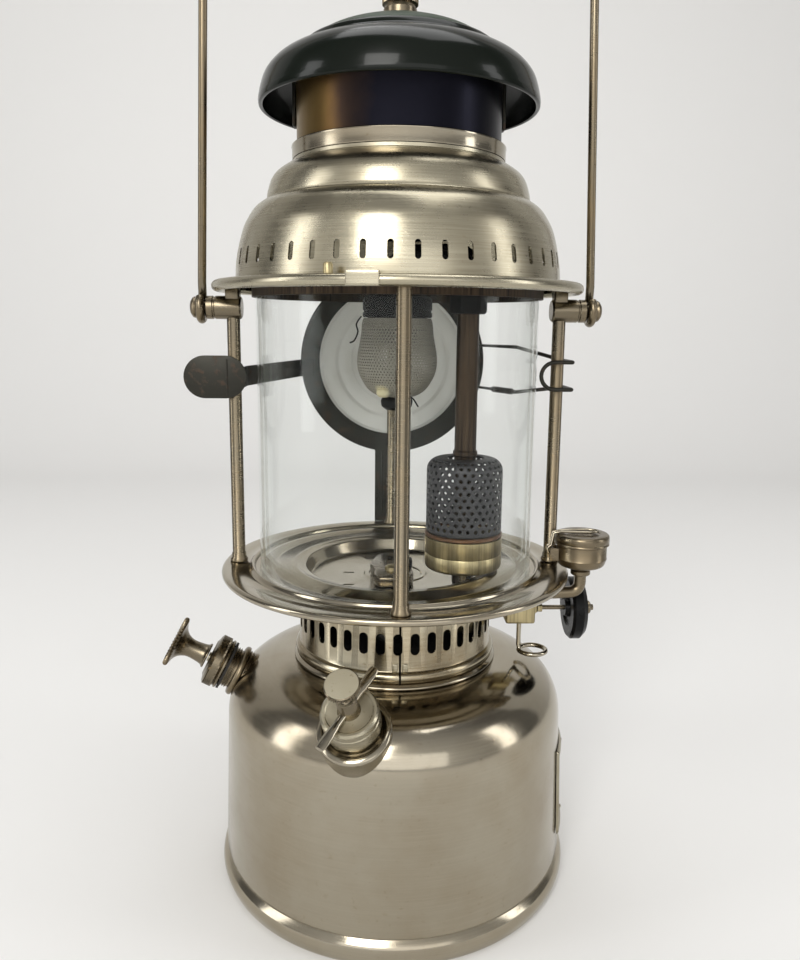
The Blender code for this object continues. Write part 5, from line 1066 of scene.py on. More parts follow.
class LANTERN_OT_gallery(LanternTool, bpy.types.Operator):
    """Model the seat ring, slotted collar, gallery plate, its floor bracket and the posts"""

    bl_idname = "lantern.gallery"
    bl_label = "Gallery"

    collar: length("Collar radius", "Radius of the slotted collar", 0.0448)
    collar_foot: length("Collar foot", "Height of the collar's lower edge", 0.1075)
    slot_level: length("Slot level", "Height of the slots' middle", 0.1253)
    seat_bore: length("Seat bore", "Inner radius of the seat ring", 0.0362)
    sheet: length("Sheet", "Thickness of the sheet metal", 0.0008)
    plate_top: length("Plate height", "Height of the gallery plate's face", PLATE_TOP)
    recess: length("Recess radius", "Radius of the sunk middle of the plate", 0.0422)
    recess_depth: length("Recess depth", "Depth of the sunk middle of the plate", 0.0060)
    bead_circle: length("Seat bead circle", "Radius of the bead round the glass", 0.0672)
    roll: length("Rim roll", "Radius of the plate's rolled rim", 0.0016)
    post: length("Post radius", "Radius of the posts", POST_RADIUS)

    def build(self):
        self.make_collar()
        self.make_plate()
        self.make_floor()
        self.make_posts()

    def make_collar(self):
        bottom, top, radius = self.collar_foot + GAP, high("collar").z, self.collar
        inner, outer = self.seat_bore, high("seat_ring").x
        foot, seat_top = high("tank").z + GAP, high("seat_ring").z
        rim = [(outer, foot), (outer + 0.0003, high("tank").z + 0.0012), (outer - 0.0010, seat_top)]
        line = [(inner, foot)] + smooth(rim, 4) + [(inner, seat_top), (inner, foot)]
        dress(spun("collar_seat", line, FINE), "seat_ring")
        line = mm((0.0, 0.0), (-0.6, -1.0), (0.0, -2.0), r=radius, z=top)
        line += mm((0.0, 5.3), r=radius, z=bottom)
        bead = mm((0.4, 4.5), (1.6, 3.6), (2.0, 2.25), (1.4, 0.9), (0.4, 0.0), r=radius, z=bottom)
        line += smooth(bead, 4)
        collar = spun("slotted_collar", line, 192, 40.0)
        thicken(collar, self.sheet)
        size = sizes()
        cut(collar, slots(radius, self.slot_level, size.collar_slots, size.collar_slot_width,
                          size.collar_slot_height, 0.006))
        split_place = Matrix.Translation(around(radius, math.radians(1.3)))
        reach = 0.004
        split = block("split_cutter", (-0.00045, -reach, bottom - reach), (0.00045, reach, top + reach))
        cut(collar, place(split, split_place))
        shade(collar, 40.0)
        dress(collar, "collar", look="tarnished_nickel")
        # Painted shade: the collar's inner faces take the black burner finish, standing in for the dark under the
        # gallery plate.
        paint_faces(collar, "burner_black", lambda centre, normal: centre.xy.dot(normal.xy) < -radius / 2)
        lug_place = Matrix.Translation(around(radius + 0.0007, math.radians(1.3)))
        for side, shift in (("left", -0.0022), ("right", 0.0022)):
            lug = block(f"collar_lug_{side}", (-0.0012, -0.0008, bottom + 0.0052),
                        (0.0012, 0.0003, bottom + 0.0090), 0.0004)
            place(lug, lug_place @ Matrix.Translation((shift, 0.0, 0.0)))
            trim(lug, "collar")

    def make_plate(self):
        top, recess, bead, roll = self.plate_top, self.recess, self.bead_circle, self.roll
        radius = high("gallery_plate").x
        floor, inner = top - self.recess_depth, recess - 0.0016
        line = [(0.0040, floor), (inner * 0.30, floor), (inner * 0.31, floor + 0.0004),
                (inner * 0.36, floor + 0.0004), (inner * 0.37, floor), (inner - 0.0012, floor)]
        step = mm((-0.6, 0.2), (0.0, 1.0), r=inner, z=floor)
        line += smooth(step + mm((-0.2, -1.6), (0.4, -0.4), (1.4, 0.0), r=recess, z=top), 4)
        line += mm((4.0, 0.0), (4.6, 0.5), (6.2, 0.5), (6.8, 0.0), r=recess, z=top)
        line += mm((56.0, 0.0), (56.6, -0.5), (58.0, -0.5), (58.6, 0.0), z=top) + [(bead - 0.0022, top)]
        line += smooth(mm((-1.4, 0.2), (-0.6, 1.6), (0.4, 1.8), (1.2, 0.6), (2.2, 0.0), r=bead, z=top), 4)
        line += [(0.0740, top), (0.0748, top + GAP), (radius - roll - 0.0004, top + GAP)]
        line += arc(radius - roll, top - roll + GAP, roll, 80.0, -150.0, 12)
        gallery = spun("gallery_dish", list(reversed(line)), FINE, 40.0)
        thicken(gallery, 0.0009, 1.0 if points_up(gallery, floor) < 0 else -1.0)
        deep = 0.004
        for x, y, w, h in ((-0.0223, 0.0008, 0.0052, 0.0016), (-0.0219, -0.0178, 0.0050, 0.0016),
                           (-0.0122, 0.0252, 0.0056, 0.0018), (0.0020, -0.0350, 0.0060, 0.0016)):
            cut(gallery, block("hole", (x - w / 2, y - h / 2, floor - deep),
                               (x + w / 2, y + h / 2, floor + deep), 0.0005))
        shade(gallery, 40.0)
        dress(gallery, "gallery_plate")

    def make_floor(self):
        lowest, highest = low("floor_bracket"), high("floor_bracket")
        centre, span = middle("floor_bracket"), highest - lowest
        shares = ((-0.30, -0.5), (0.36, -0.5), (0.5, -0.30), (0.5, 0.22), (0.28, 0.5), (-0.26, 0.5),
                  (-0.42, 0.26), (-0.5, 0.05), (-0.40, -0.16), (-0.42, -0.36))
        outline = [(span.x * x, span.y * y) for x, y in shares]
        bracket = plate("floor_stay", outline, span.z, Matrix.Translation(centre), 0.0009)
        slot_y, half, reach = centre.y + span.y / 4, 0.0015, 0.004
        cut(bracket, block("slot_cutter", (centre.x - half, slot_y - reach, lowest.z - reach),
                           (centre.x + half, slot_y + reach, highest.z + reach), 0.0008))
        shade(bracket)
        dress(bracket, "floor_bracket")
        screw = spun("floor_screw", mm((0.0, 2.6), (2.0, 2.4), (3.0, 1.6), (3.2, 0.0), (0.0, 0.0)), SMALL)
        place(screw, Matrix.Translation((centre.x, centre.y - span.y / 5, highest.z)))
        trim(screw, "floor_bracket", "brass")
        black = block("floor_catch", (0.0030, -0.0084, 0.1484), (0.0078, -0.0020, 0.1520), 0.0007)
        trim(black, "floor_bracket", "burner_black")

    def make_posts(self):
        radius, into_ear = self.post, 0.0013
        for side in ("front", "right", "back", "left"):
            node = f"post_{side}"
            bottom, top = levels(node)
            if side in ("left", "right"):
                top += into_ear
            line = [(0.0, top)] + mm((-0.3, 0.0), (0.0, -0.3), r=radius, z=top)
            line += mm((0.0, 4.4), (0.4, 3.8), (0.4, 2.2), r=radius, z=bottom)
            line += mm((4.1, 1.2), (4.1, 0.3), (3.8, 0.0), (0.0, 0.0), z=bottom)
            post = spun(f"{node}_tube", line, 40, 40.0)
            seam = math.radians(-62.0)
            select_verts(post, lambda co: co.xy.length > radius - 0.0005 and co.z > bottom + 0.0046
                         and abs(math.atan2(co.y, co.x) - seam) < 0.08)
            bpy.ops.transform.shrink_fatten(value=-0.00045)
            leave()
            centre = middle(node)
            turn = math.atan2(centre.x, -centre.y) if side != "front" else 0.0
            place(post, Matrix.Translation((centre.x, centre.y, 0.0)) @ Matrix.Rotation(turn, 4, "Z"))
            dress(post, node)


def points_up(obj, height):
    """The mean upward part of the normals of the faces near a height."""
    normals = [face.normal.z for face in obj.data.polygons if abs(face.center.z - height) < 0.0001]
    return sum(normals) / max(len(normals), 1)


# Upper ring, bail and glass

class LANTERN_OT_upper_ring(LanternTool, bpy.types.Operator):
    """Model the upper ring with its rolled rim, the hood's catch and the glass"""

    bl_idname = "lantern.upper_ring"
    bl_label = "Upper ring and glass"

    roll: length("Rim roll", "Radius of the rolled rim", 0.0023)
    sheet: length("Sheet", "Thickness of the ring's sheet", 0.0010)
    bore: length("Ring bore", "Inner radius of the ring", 0.0644)
    face: length("Ring height", "Height of the ring's face", 0.2793)
    # Radius inside which the ring's skirt under its face is made darker with the scorched finish.
    scorched: length("Scorched radius", "Radius of the heat marks inside the ring", 0.0665)
    wall: length("Glass wall", "Thickness of the glass", 0.0015)

    def build(self):
        self.make_ring()
        self.make_catch()
        self.make_glass()

    def make_ring(self):
        top, roll, radius = self.face, self.roll, high("upper_ring").x
        line = mm((0.0, -6.8), (0.0, -1.4), (0.3, -0.4), (1.2, 0.0), r=self.bore, z=top)
        line += mm((-3.0, 0.0), (-1.6, -0.3), r=radius - roll, z=top)
        line += arc(radius - roll, top - roll, roll, 88.0, -170.0, 16)
        ring = spun("ring_with_rim", list(reversed(line)), FINE, 40.0)
        thicken(ring, self.sheet * 0.9, 1.0 if points_up(ring, top) < 0 else -1.0)
        shade(ring, 40.0)
        dress(ring, "upper_ring")
        # The skirt under the ring's face, inside the scorched radius, takes the darker scorched finish.
        paint_faces(ring, "scorched",
                    lambda centre, normal: centre.z < top - 0.0016 and centre.xy.length < self.scorched)
        stud = spun("catch_stud", mm((0.0, 4.2), (1.3, 4.0), (1.8, 3.2), (1.8, 0.0), (0.0, 0.0)), SMALL)
        place(stud, Matrix.Translation(around(0.0790, math.radians(-20.6), top)))
        trim(stud, "upper_ring", "brass")

    def make_catch(self):
        """A strip up the ring's rim that turns inwards over its face."""
        catch = grid("hood_catch_strip", 24, 10)
        start, end, tongue = math.radians(-14.9), math.radians(-6.4), 0.0050
        radius = high("upper_ring").x + GAP * 2
        bottom, top = levels("hood_catch")
        rise = top - GAP * 2
        for vert in catch.data.vertices:
            bearing = start + (end - start) * (vert.co.x + 1) / 2
            along = vert.co.y + 1
            if along <= 1.0:
                vert.co = around(radius, bearing, bottom + (rise - bottom) * along)
            else:
                vert.co = around(radius - tongue * (along - 1.0), bearing, rise)
        thicken(catch, 0.0008, 0.0)
        round_edges(catch, 0.0002, 2)
        shade(catch, 50.0)
        dress(catch, "hood_catch")

    def make_glass(self):
        bottom, top = levels("glass")
        radius = high("glass").x
        inner, edge = radius - self.wall, radius - self.wall / 2
        line = [(inner, bottom + GAP), (edge, bottom), (radius, bottom + GAP), (radius, top - GAP),
                (edge, top), (inner, top - GAP), (inner, bottom + GAP)]
        dress(spun("glass_cylinder", line, 192, 60.0), "glass")


class LANTERN_OT_bail(LanternTool, bpy.types.Operator):
    """Model the bail with its ears, pins and eyes"""

    bl_idname = "lantern.bail"
    bl_label = "Bail"

    wire: length("Bail wire radius", "Radius of the bail's wire", 0.0019)
    ear: length("Ear radius", "Radius of the ears that hold the bail", 0.0052)
    pin: length("Pin radius", "Radius of the pins in the ears", 0.0030)
    inner: length("Ear start", "How far from the middle the ears begin", 0.0703)
    outer: length("Ear end", "How far from the middle the ears end", 0.0862)
    arch: length("Arch half width", "Half the width of the bail's arch", 0.0838)

    def build(self):
        pivot = Vector(JOINT["bail_swing"]["pos_m"])
        for side, name in ((-1, "left"), (1, "right")):
            axis = Matrix.Translation(pivot) @ Matrix.Rotation(side * math.pi / 2, 4, "Y")
            self.make_ear(axis, pivot, side, name)
            self.make_pin(axis, name)
        self.make_bail(pivot)

    def make_ear(self, axis, pivot, side, name):
        ear, bore, inner, outer = self.ear, self.pin + GAP, self.inner, self.outer
        line = [(bore, inner + 0.003), (0.0, inner + 0.003), (0.0, inner)]
        line += mm((-0.8, 0.0), (0.0, 0.8), r=ear, z=inner)
        line += mm((0.0, -4.2), (-0.4, -3.8), (-0.4, -3.4), (0.0, -3.0), (0.0, -0.5), (-0.5, 0.0),
                   r=ear, z=outer)
        line += [(bore, outer), (bore, inner + 0.003)]
        piece = place(spun(f"ear_{name}", line, SMALL), axis)
        half, wide = 0.0031, 0.0035
        near, far = sorted((side * (POST_CIRCLE - half), side * (POST_CIRCLE + half)))
        saddle = block(f"ear_saddle_{name}", (near, -wide, pivot.z + 0.002), (far, wide, 0.2780), 0.0008)
        piece = join(f"bail_holder_{name}", piece, saddle)
        shade(piece)
        dress(piece, f"bail_ear_{name}")

    def make_pin(self, axis, name):
        head, end = self.outer + (self.wire + GAP) * 2, self.outer - 0.0077
        line = mm((0.0, 2.6), (3.0, 2.5), (4.4, 1.6), (4.8, 0.8), (4.6, 0.0), z=head)
        line += [(self.pin, head), (self.pin, end), (0.0, end)]
        dress(place(spun(f"bail_rivet_{name}", line, SMALL), axis), f"bail_pin_{name}")

    def make_bail(self, pivot):
        wire, steps, bow = self.wire, 28, 48
        base = pivot.z + 0.132
        rise = high("bail").z - wire - base
        eye, eye_x = self.pin + 0.0005 + wire, self.outer + GAP + wire
        arm = []
        for k in range(steps + 1):
            angle = math.radians(130.0 + 290.0 * k / steps)
            arm.append((eye_x, eye * math.cos(angle), pivot.z + eye * math.sin(angle)))
        arm.append((eye_x - wire / 4, 0.0, pivot.z + eye + wire * 3))
        turns = [math.pi * k / bow for k in range(bow + 1)]
        arch = [(self.arch * math.cos(a), 0.0, base + rise * math.sin(a)) for a in turns]
        left = [(-x, y, z) for x, y, z in reversed(arm)]
        dress(tube("carrying_bail", arm + arch + left, wire, sides=6), "bail")


# Hood, chimney and cap

class LANTERN_OT_hood(LanternTool, bpy.types.Operator):
    """Model the slotted hood, its neck band and the chimney"""

    bl_idname = "lantern.hood"
    bl_label = "Hood"

    sheet: length("Sheet", "Thickness of the hood's sheet", 0.0009)
    neck: length("Neck radius", "Radius of the hood's neck", 0.0465)
    band_bore: length("Band bore", "Inner radius of the neck band", 0.0450)

    def build(self):
        size = sizes()
        bottom, top = levels("hood")
        foot, neck = high("hood").x, self.neck
        across, rise = foot - neck, top - bottom
        lower = [(1.0, 0.0), (1.0, 0.04), (0.985, 0.14), (0.940, 0.27), (0.863, 0.415), (0.784, 0.50),
                 (0.663, 0.59), (0.540, 0.640)]
        upper = [(0.440, 0.668), (0.446, 0.69), (0.425, 0.75), (0.370, 0.83), (0.280, 0.89), (0.120, 0.945),
                 (0.03, 0.965)]
        shares = smooth(lower, 6) + [(0.500, 0.652), (0.470, 0.652), (0.452, 0.656)]
        shares += smooth(upper, 6) + [(0.0, 0.975), (0.0, 1.0)]
        line = [(neck + across * r, bottom + rise * z) for r, z in shares]
        hood = spun("slotted_hood", list(reversed(line)), 176, 50.0)
        thicken(hood, self.sheet, -1.0 if points_out(hood, bottom + 0.001) > 0 else 1.0)
        cut(hood, slots(foot, bottom + 0.0090, size.hood_slots, size.hood_slot_width,
                        size.hood_slot_height, 0.008, math.pi / size.hood_slots))
        shade(hood, 40.0)
        dress(hood, "hood")

        inner, outer = self.band_bore, high("neck_band").x
        bottom, top = levels("neck_band")
        line = [(inner, bottom)] + mm((-0.4, 0.0), (-0.2, 0.6), r=outer, z=bottom)
        line += mm((-0.2, -1.2), (0.0, -0.9), (0.0, -0.4), (-0.4, 0.0), r=outer, z=top)
        dress(spun("neck_ring", line + [(inner, top), (inner, bottom)], FINE), "neck_band")

        outer = high("chimney").x
        bottom, top = levels("chimney")
        line = mm((-0.8, 0.0), (0.0, 0.0), r=outer, z=bottom)
        line += mm((0.0, -0.6), (0.2, -0.3), (-0.1, 0.0), (-0.8, 0.0), r=outer, z=top)
        dress(spun("chimney_sleeve", line + line[:1], FINE), "chimney")


def points_out(obj, height):
    """Above 0 where the faces near a height look away from the axis."""
    near = [f for f in obj.data.polygons if abs(f.center.z - height) < 0.0015]
    return sum(f.normal.x * f.center.x + f.normal.y * f.center.y for f in near)


class LANTERN_OT_cap(LanternTool, bpy.types.Operator):
    """Model the enamelled cap, the bridge that carries it and its knurled nut"""

    bl_idname = "lantern.cap"
    bl_label = "Cap"

    sheet: length("Sheet", "Thickness of the cap's sheet", 0.0012)
    radius: length("Cap radius", "Radius of the enamelled cap", 0.0611)

    def build(self):
        self.make_dome()
        self.make_bridge()
        self.make_nut()

    def make_dome(self):
        rim, top = levels("cap")
        radius, rise = self.radius, top - rim
        dome = [(0.046, 1.0), (0.13, 0.99), (0.20, 0.955), (0.30, 0.905), (0.42, 0.84), (0.54, 0.765),
                (0.63, 0.685)]
        ring = [(0.640, 0.665), (0.655, 0.655), (0.675, 0.650), (0.690, 0.630), (0.695, 0.600),
                (0.705, 0.580)]
        skirt = [(0.72, 0.568), (0.75, 0.555), (0.83, 0.50), (0.90, 0.42), (0.955, 0.31), (0.985, 0.17),
                 (0.998, 0.06)]
        shares = smooth(dome, 5) + ring + smooth(skirt, 5)
        line = [(radius * r, rim + rise * z) for r, z in shares]
        line += arc(radius * 0.998 - 0.0011, rim + 0.0011, 0.0010, 0.0, -140.0, 6)
        cap = spun("enamel_dome", line, FINE, 55.0)
        thicken(cap, self.sheet * 0.8, -1.0 if points_out(cap, rim + 0.005) > 0 else 1.0)
        shade(cap, 55.0)
        dress(cap, "cap")

    def make_bridge(self):
        """A strip bent twice, with the threaded stud on its middle."""
        leg_in, leg_out, wide = 0.0450, high("cap_bridge").x, 0.006
        leg_low, bar_low, bar_top = 0.3455, 0.3700, 0.3714
        strip = [(leg_out, leg_low), (leg_out, bar_top), (-leg_out, bar_top), (-leg_out, leg_low),
                 (-leg_in, leg_low), (-leg_in, bar_low), (leg_in, bar_low), (leg_in, leg_low)]
        bridge = plate("bridge_strip", list(reversed(strip)), wide, UPRIGHT, 0.0004)
        line = [(0.0, 0.4000)] + list(reversed(threads(0.0025, 0.0003, 0.3925, 0.3995, 0.0008)))
        line += [(0.0050, 0.3898), (0.0050, bar_low), (0.0, bar_low)]
        bridge = join("cap_carrier", bridge, spun("bridge_stud", line, SMALL))
        shade(bridge)
        dress(bridge, "cap_bridge")

    def make_nut(self):
        bottom, top = levels("cap_nut")
        radius, rows, columns = high("cap_nut").x, 6, 96
        line = mm((0.0, -0.3), (2.8, -0.3), (3.4, 0.0), z=top)
        line += mm((-1.4, 0.0), (-0.4, -0.7), r=radius, z=top)
        line += [(radius, top - 0.0012 - 0.0074 * k / rows) for k in range(rows + 1)]
        line += mm((-1.4, -9.2), (-1.8, -10.0), (-0.6, -10.6), r=radius, z=top) + [(radius - 0.0006, bottom)]
        nut = spun("cap_thumb_nut", line + mm((2.8, 0.0), (2.8, 9.0), (0.0, 9.0), z=bottom), columns, 20.0)
        knurl(nut, columns, -sizes().knurl_depth,
              lambda co: top - 0.0088 < co.z < top - 0.0010 and co.xy.length > radius - 0.0002)
        dress(nut, "cap_nut")


# Burner, mantle and preheater

class LANTERN_OT_burner(LanternTool, bpy.types.Operator):
    """Model the burner, the mantle with its wire hooks, and the plug under it"""

    bl_idname = "lantern.burner"
    bl_label = "Burner and mantle"

    radius: length("Burner radius", "Radius of the burner's body", 0.0158)

    def build(self):
        self.make_burner()
        self.make_mantle()
        self.make_hooks()
        self.make_pipes()

    def make_burner(self):
        base, top, r = 0.2643, high("burner_body").z, self.radius
        line = mm((0.0, 0.0), (6.0, 0.0), (6.0, -4.7), z=top)
        line += [(r * 0.8, top - 0.0085), (r * 0.96, top - 0.0100), (r, top - 0.0114)]
        line += mm((0.0, 3.4), (-0.5, 3.0), (-0.5, 2.4), (0.0, 2.0), (0.0, 0.4), (-0.4, 0.0), r=r, z=base)
        line += mm((13.6, 0.0), (13.6, -2.0), (13.2, -2.4), (13.6, -2.8), (13.6, -6.0), (9.2, -6.0),
                   (9.2, -12.0), (5.0, -12.0), (5.0, -6.0), (0.0, -6.0), z=base)
        dress(spun("burner_head", line, ROUND), "burner_body")

    def make_mantle(self):
        bottom, top = levels("mantle")
        wide, tall = 0.01835, top - bottom
        shares = [(0.84, 1.0), (0.88, 0.93), (0.90, 0.80), (0.94, 0.68), (0.985, 0.56), (1.0, 0.43),
                  (0.965, 0.31), (0.88, 0.21), (0.74, 0.10), (0.58, 0.035), (0.42, 0.0)]
        line = even(smooth([(wide * r, bottom + tall * z) for r, z in shares], 5), 0.00066)
        columns = sizes().mantle_holes * 2
        mantle = spun("mesh_mantle", line, columns, 60.0)
        row = {round(z, 6): k for k, (_, z) in enumerate(line)}
        for start, end, radius in ((0.20, 0.82, 0.00061), (0.82, 0.94, 0.00063), (0.07, 0.20, 0.00044)):
            least, most = bottom + tall * start, bottom + tall * end
            pierce(mantle, columns,
                   lambda co: row.get(round(co.z, 6)) if least < co.z <= most else None, radius)
        for vert in mantle.data.vertices:
            angle = math.atan2(vert.co.y, vert.co.x)
            share = (top - vert.co.z) / tall
            ripple = 1.0 + 0.012 * math.sin(7 * angle + 3.0) * math.sin(math.pi * share)
            ripple += 0.035 * math.exp(-((share - 0.04) / 0.05) ** 2) * math.sin(23 * angle)
            vert.co.x *= min(ripple, 1.0)
            vert.co.y *= min(ripple, 1.0)
        thicken(mantle, 0.0002)
        shade(mantle, 60.0)
        dress(mantle, "mantle")

    def make_hooks(self):
        """The mantle's gathered neck, its knot, the wires that hold it, and the plug."""
        bottom, top = levels("mantle")
        line = mm((13.9, -0.2), (15.2, -0.8), (14.8, -2.2), (15.5, -3.0), (14.6, -4.0), z=top)
        neck = spun("mantle_gather", smooth(line, 4), ROUND, 60.0)
        thicken(neck, 0.0003)
        trim(neck, "mantle")
        line = mm((0.0, 2.6), (1.6, 2.4), (3.0, 1.2), (3.3, -0.8), (2.0, -2.6), (0.0, -3.0))
        knot = spun("mantle_knot", smooth(line, 4), SMALL, 80.0)
        place(knot, Matrix.Translation((-0.0062, -0.0108, bottom + 0.0026))
              @ Matrix.Scale(0.8, 4, (0.0, 0.0, 1.0)))
        trim(knot, "mantle")
        hooks = {
            "upper": [(-0.0165, -0.0030, top + 0.0006), (-0.0186, -0.0060, top - 0.0028),
                      (-0.0179, -0.0085, top - 0.0062), (-0.0195, -0.0100, top - 0.0100),
                      (-0.0215, -0.0104, top - 0.0110)],
            "lower": [(0.0030, -0.0110, bottom + 0.0012), (0.0066, -0.0130, bottom + 0.0002),
                      (0.0092, -0.0140, bottom - 0.0036)],
        }
        for name, points in hooks.items():
            hook = tube(f"mantle_hook_{name}", smooth(points, 5), 0.00035, sides=3)
            trim(hook, "mantle", "burner_black")
        bottom, top = levels("mantle_plug")
        r = high("mantle_plug").x
        line = [(0.0, top)] + mm((-1.2, 0.0), (-0.4, -0.8), (0.0, -2.0), r=r, z=top)
        line += mm((-0.4, 1.8), (-2.4, 0.3), r=r, z=bottom) + [(0.0, bottom)]
        dress(spun("mantle_base_plug", line, SMALL), "mantle_plug")

    def make_pipes(self):
        x, y = VAPORISER
        level = 0.2920
        corners = [(x, y, 0.2723), (x, y, level), (0.0, 0.0, level), (0.0, 0.0, high("burner_body").z + GAP)]
        dress(tube("mixing_pipe", bent(corners, 0.007, 8), 0.0046, sides=8), "mixing_tube")
        bottom, top = levels("union_nut")
        bore, r, edge = 0.0053, 0.0084, 0.0010
        line = [(bore, bottom), (r - edge, bottom), (r, bottom + edge), (r, top - edge), (r - edge, top),
                (bore, top), (bore, bottom)]
        nut = spun("union_ring", line, 6, 20.0)
        round_edges(nut, 0.0005, 2)
        dress(place(nut, Matrix.Translation((x, y, 0.0))), "union_nut")


class LANTERN_OT_preheater(LanternTool, bpy.types.Operator):
    """Model the vaporiser tube, its perforated screen, copper band and spirit well"""

    bl_idname = "lantern.preheater"
    bl_label = "Preheater"

    well: length("Well radius", "Radius of the spirit well", 0.01775)

    def build(self):
        at = Matrix.Translation((*VAPORISER, 0.0))
        self.make_stem(at)
        self.make_well(at)
        self.make_screen(at)

    def make_stem(self, at):
        r, bore = 0.00495, 0.0016
        bottom, top = levels("vaporiser_tube")
        line = [(bore, bottom), (r, bottom)]
        line += mm((0.0, 0.0), (0.6, 0.8), (0.6, 2.4), (0.0, 3.2), r=r, z=0.2022)
        stem = place(spun("vaporiser_stem", line + [(r, top), (bore, top), (bore, bottom)], SMALL), at)
        dress(stem, "vaporiser_tube", look="scorched")
        finish(frame["nodes"]["cleaning_needle"], "brass")

    def make_well(self, at):
        bottom, top = levels("preheater_cup")
        r, bore, sheet = self.well, 0.0053, 0.0008
        line = [(bore, bottom), (r - 0.0024, bottom)]
        line += arc(r - 0.0020, bottom + 0.0020, 0.0020, -80.0, 0.0, 5)
        line += mm((0.0, 6.8), (-0.2, 7.2), (0.0, 7.6), r=r, z=bottom) + [(r, top), (r - sheet, top)]
        line += mm((-0.8, 2.4), (-2.6, 0.8), r=r, z=bottom) + [(bore, bottom + sheet), (bore, bottom)]
        dress(place(spun("spirit_well", line, ROUND), at), "preheater_cup")
        bottom, top = levels("preheater_band")
        r = 0.0176
        line = mm((-1.0, 0.0), (-0.2, 0.0), (0.2, 0.4), r=r, z=bottom)
        line += mm((0.2, -0.4), (-0.2, 0.0), (-1.0, 0.0), r=r, z=top) + line[:1]
        dress(place(spun("copper_band", line, ROUND), at), "preheater_band")

    def make_screen(self, at):
        bottom, top = levels("preheater_screen")
        r, bend, mouth, rows, bend_rows = 0.0174, 0.0055, 0.0088, 20, 6
        pitch = (top - bend - bottom) / rows
        line = [(r, bottom + pitch * k) for k in range(rows + 1)]
        line += arc(r - bend, top - bend, bend, 0.0, 90.0, bend_rows)[1:]
        line += [((r - bend + mouth) / 2, top), (mouth, top), (mouth - 0.0004, top),
                 (mouth - 0.0006, top - 0.0010)]
        columns = sizes().screen_holes * 2
        screen = spun("pierced_screen", line, columns, 60.0)
        rank = {(round(rr, 5), round(zz, 5)): k for k, (rr, zz) in enumerate(line)}

        def row_of(co):
            k = rank.get((round(math.hypot(co.x, co.y), 5), round(co.z, 5)))
            return k if k is not None and 1 < k < rows + bend_rows else None
        pierce(screen, columns, row_of, sizes().screen_hole_radius)
        thicken(screen, 0.0006)
        subdivide(screen, 1)
        shade(screen, 50.0)
        dress(place(screen, at), "preheater_screen", look="screen_grey")


# Spirit cup

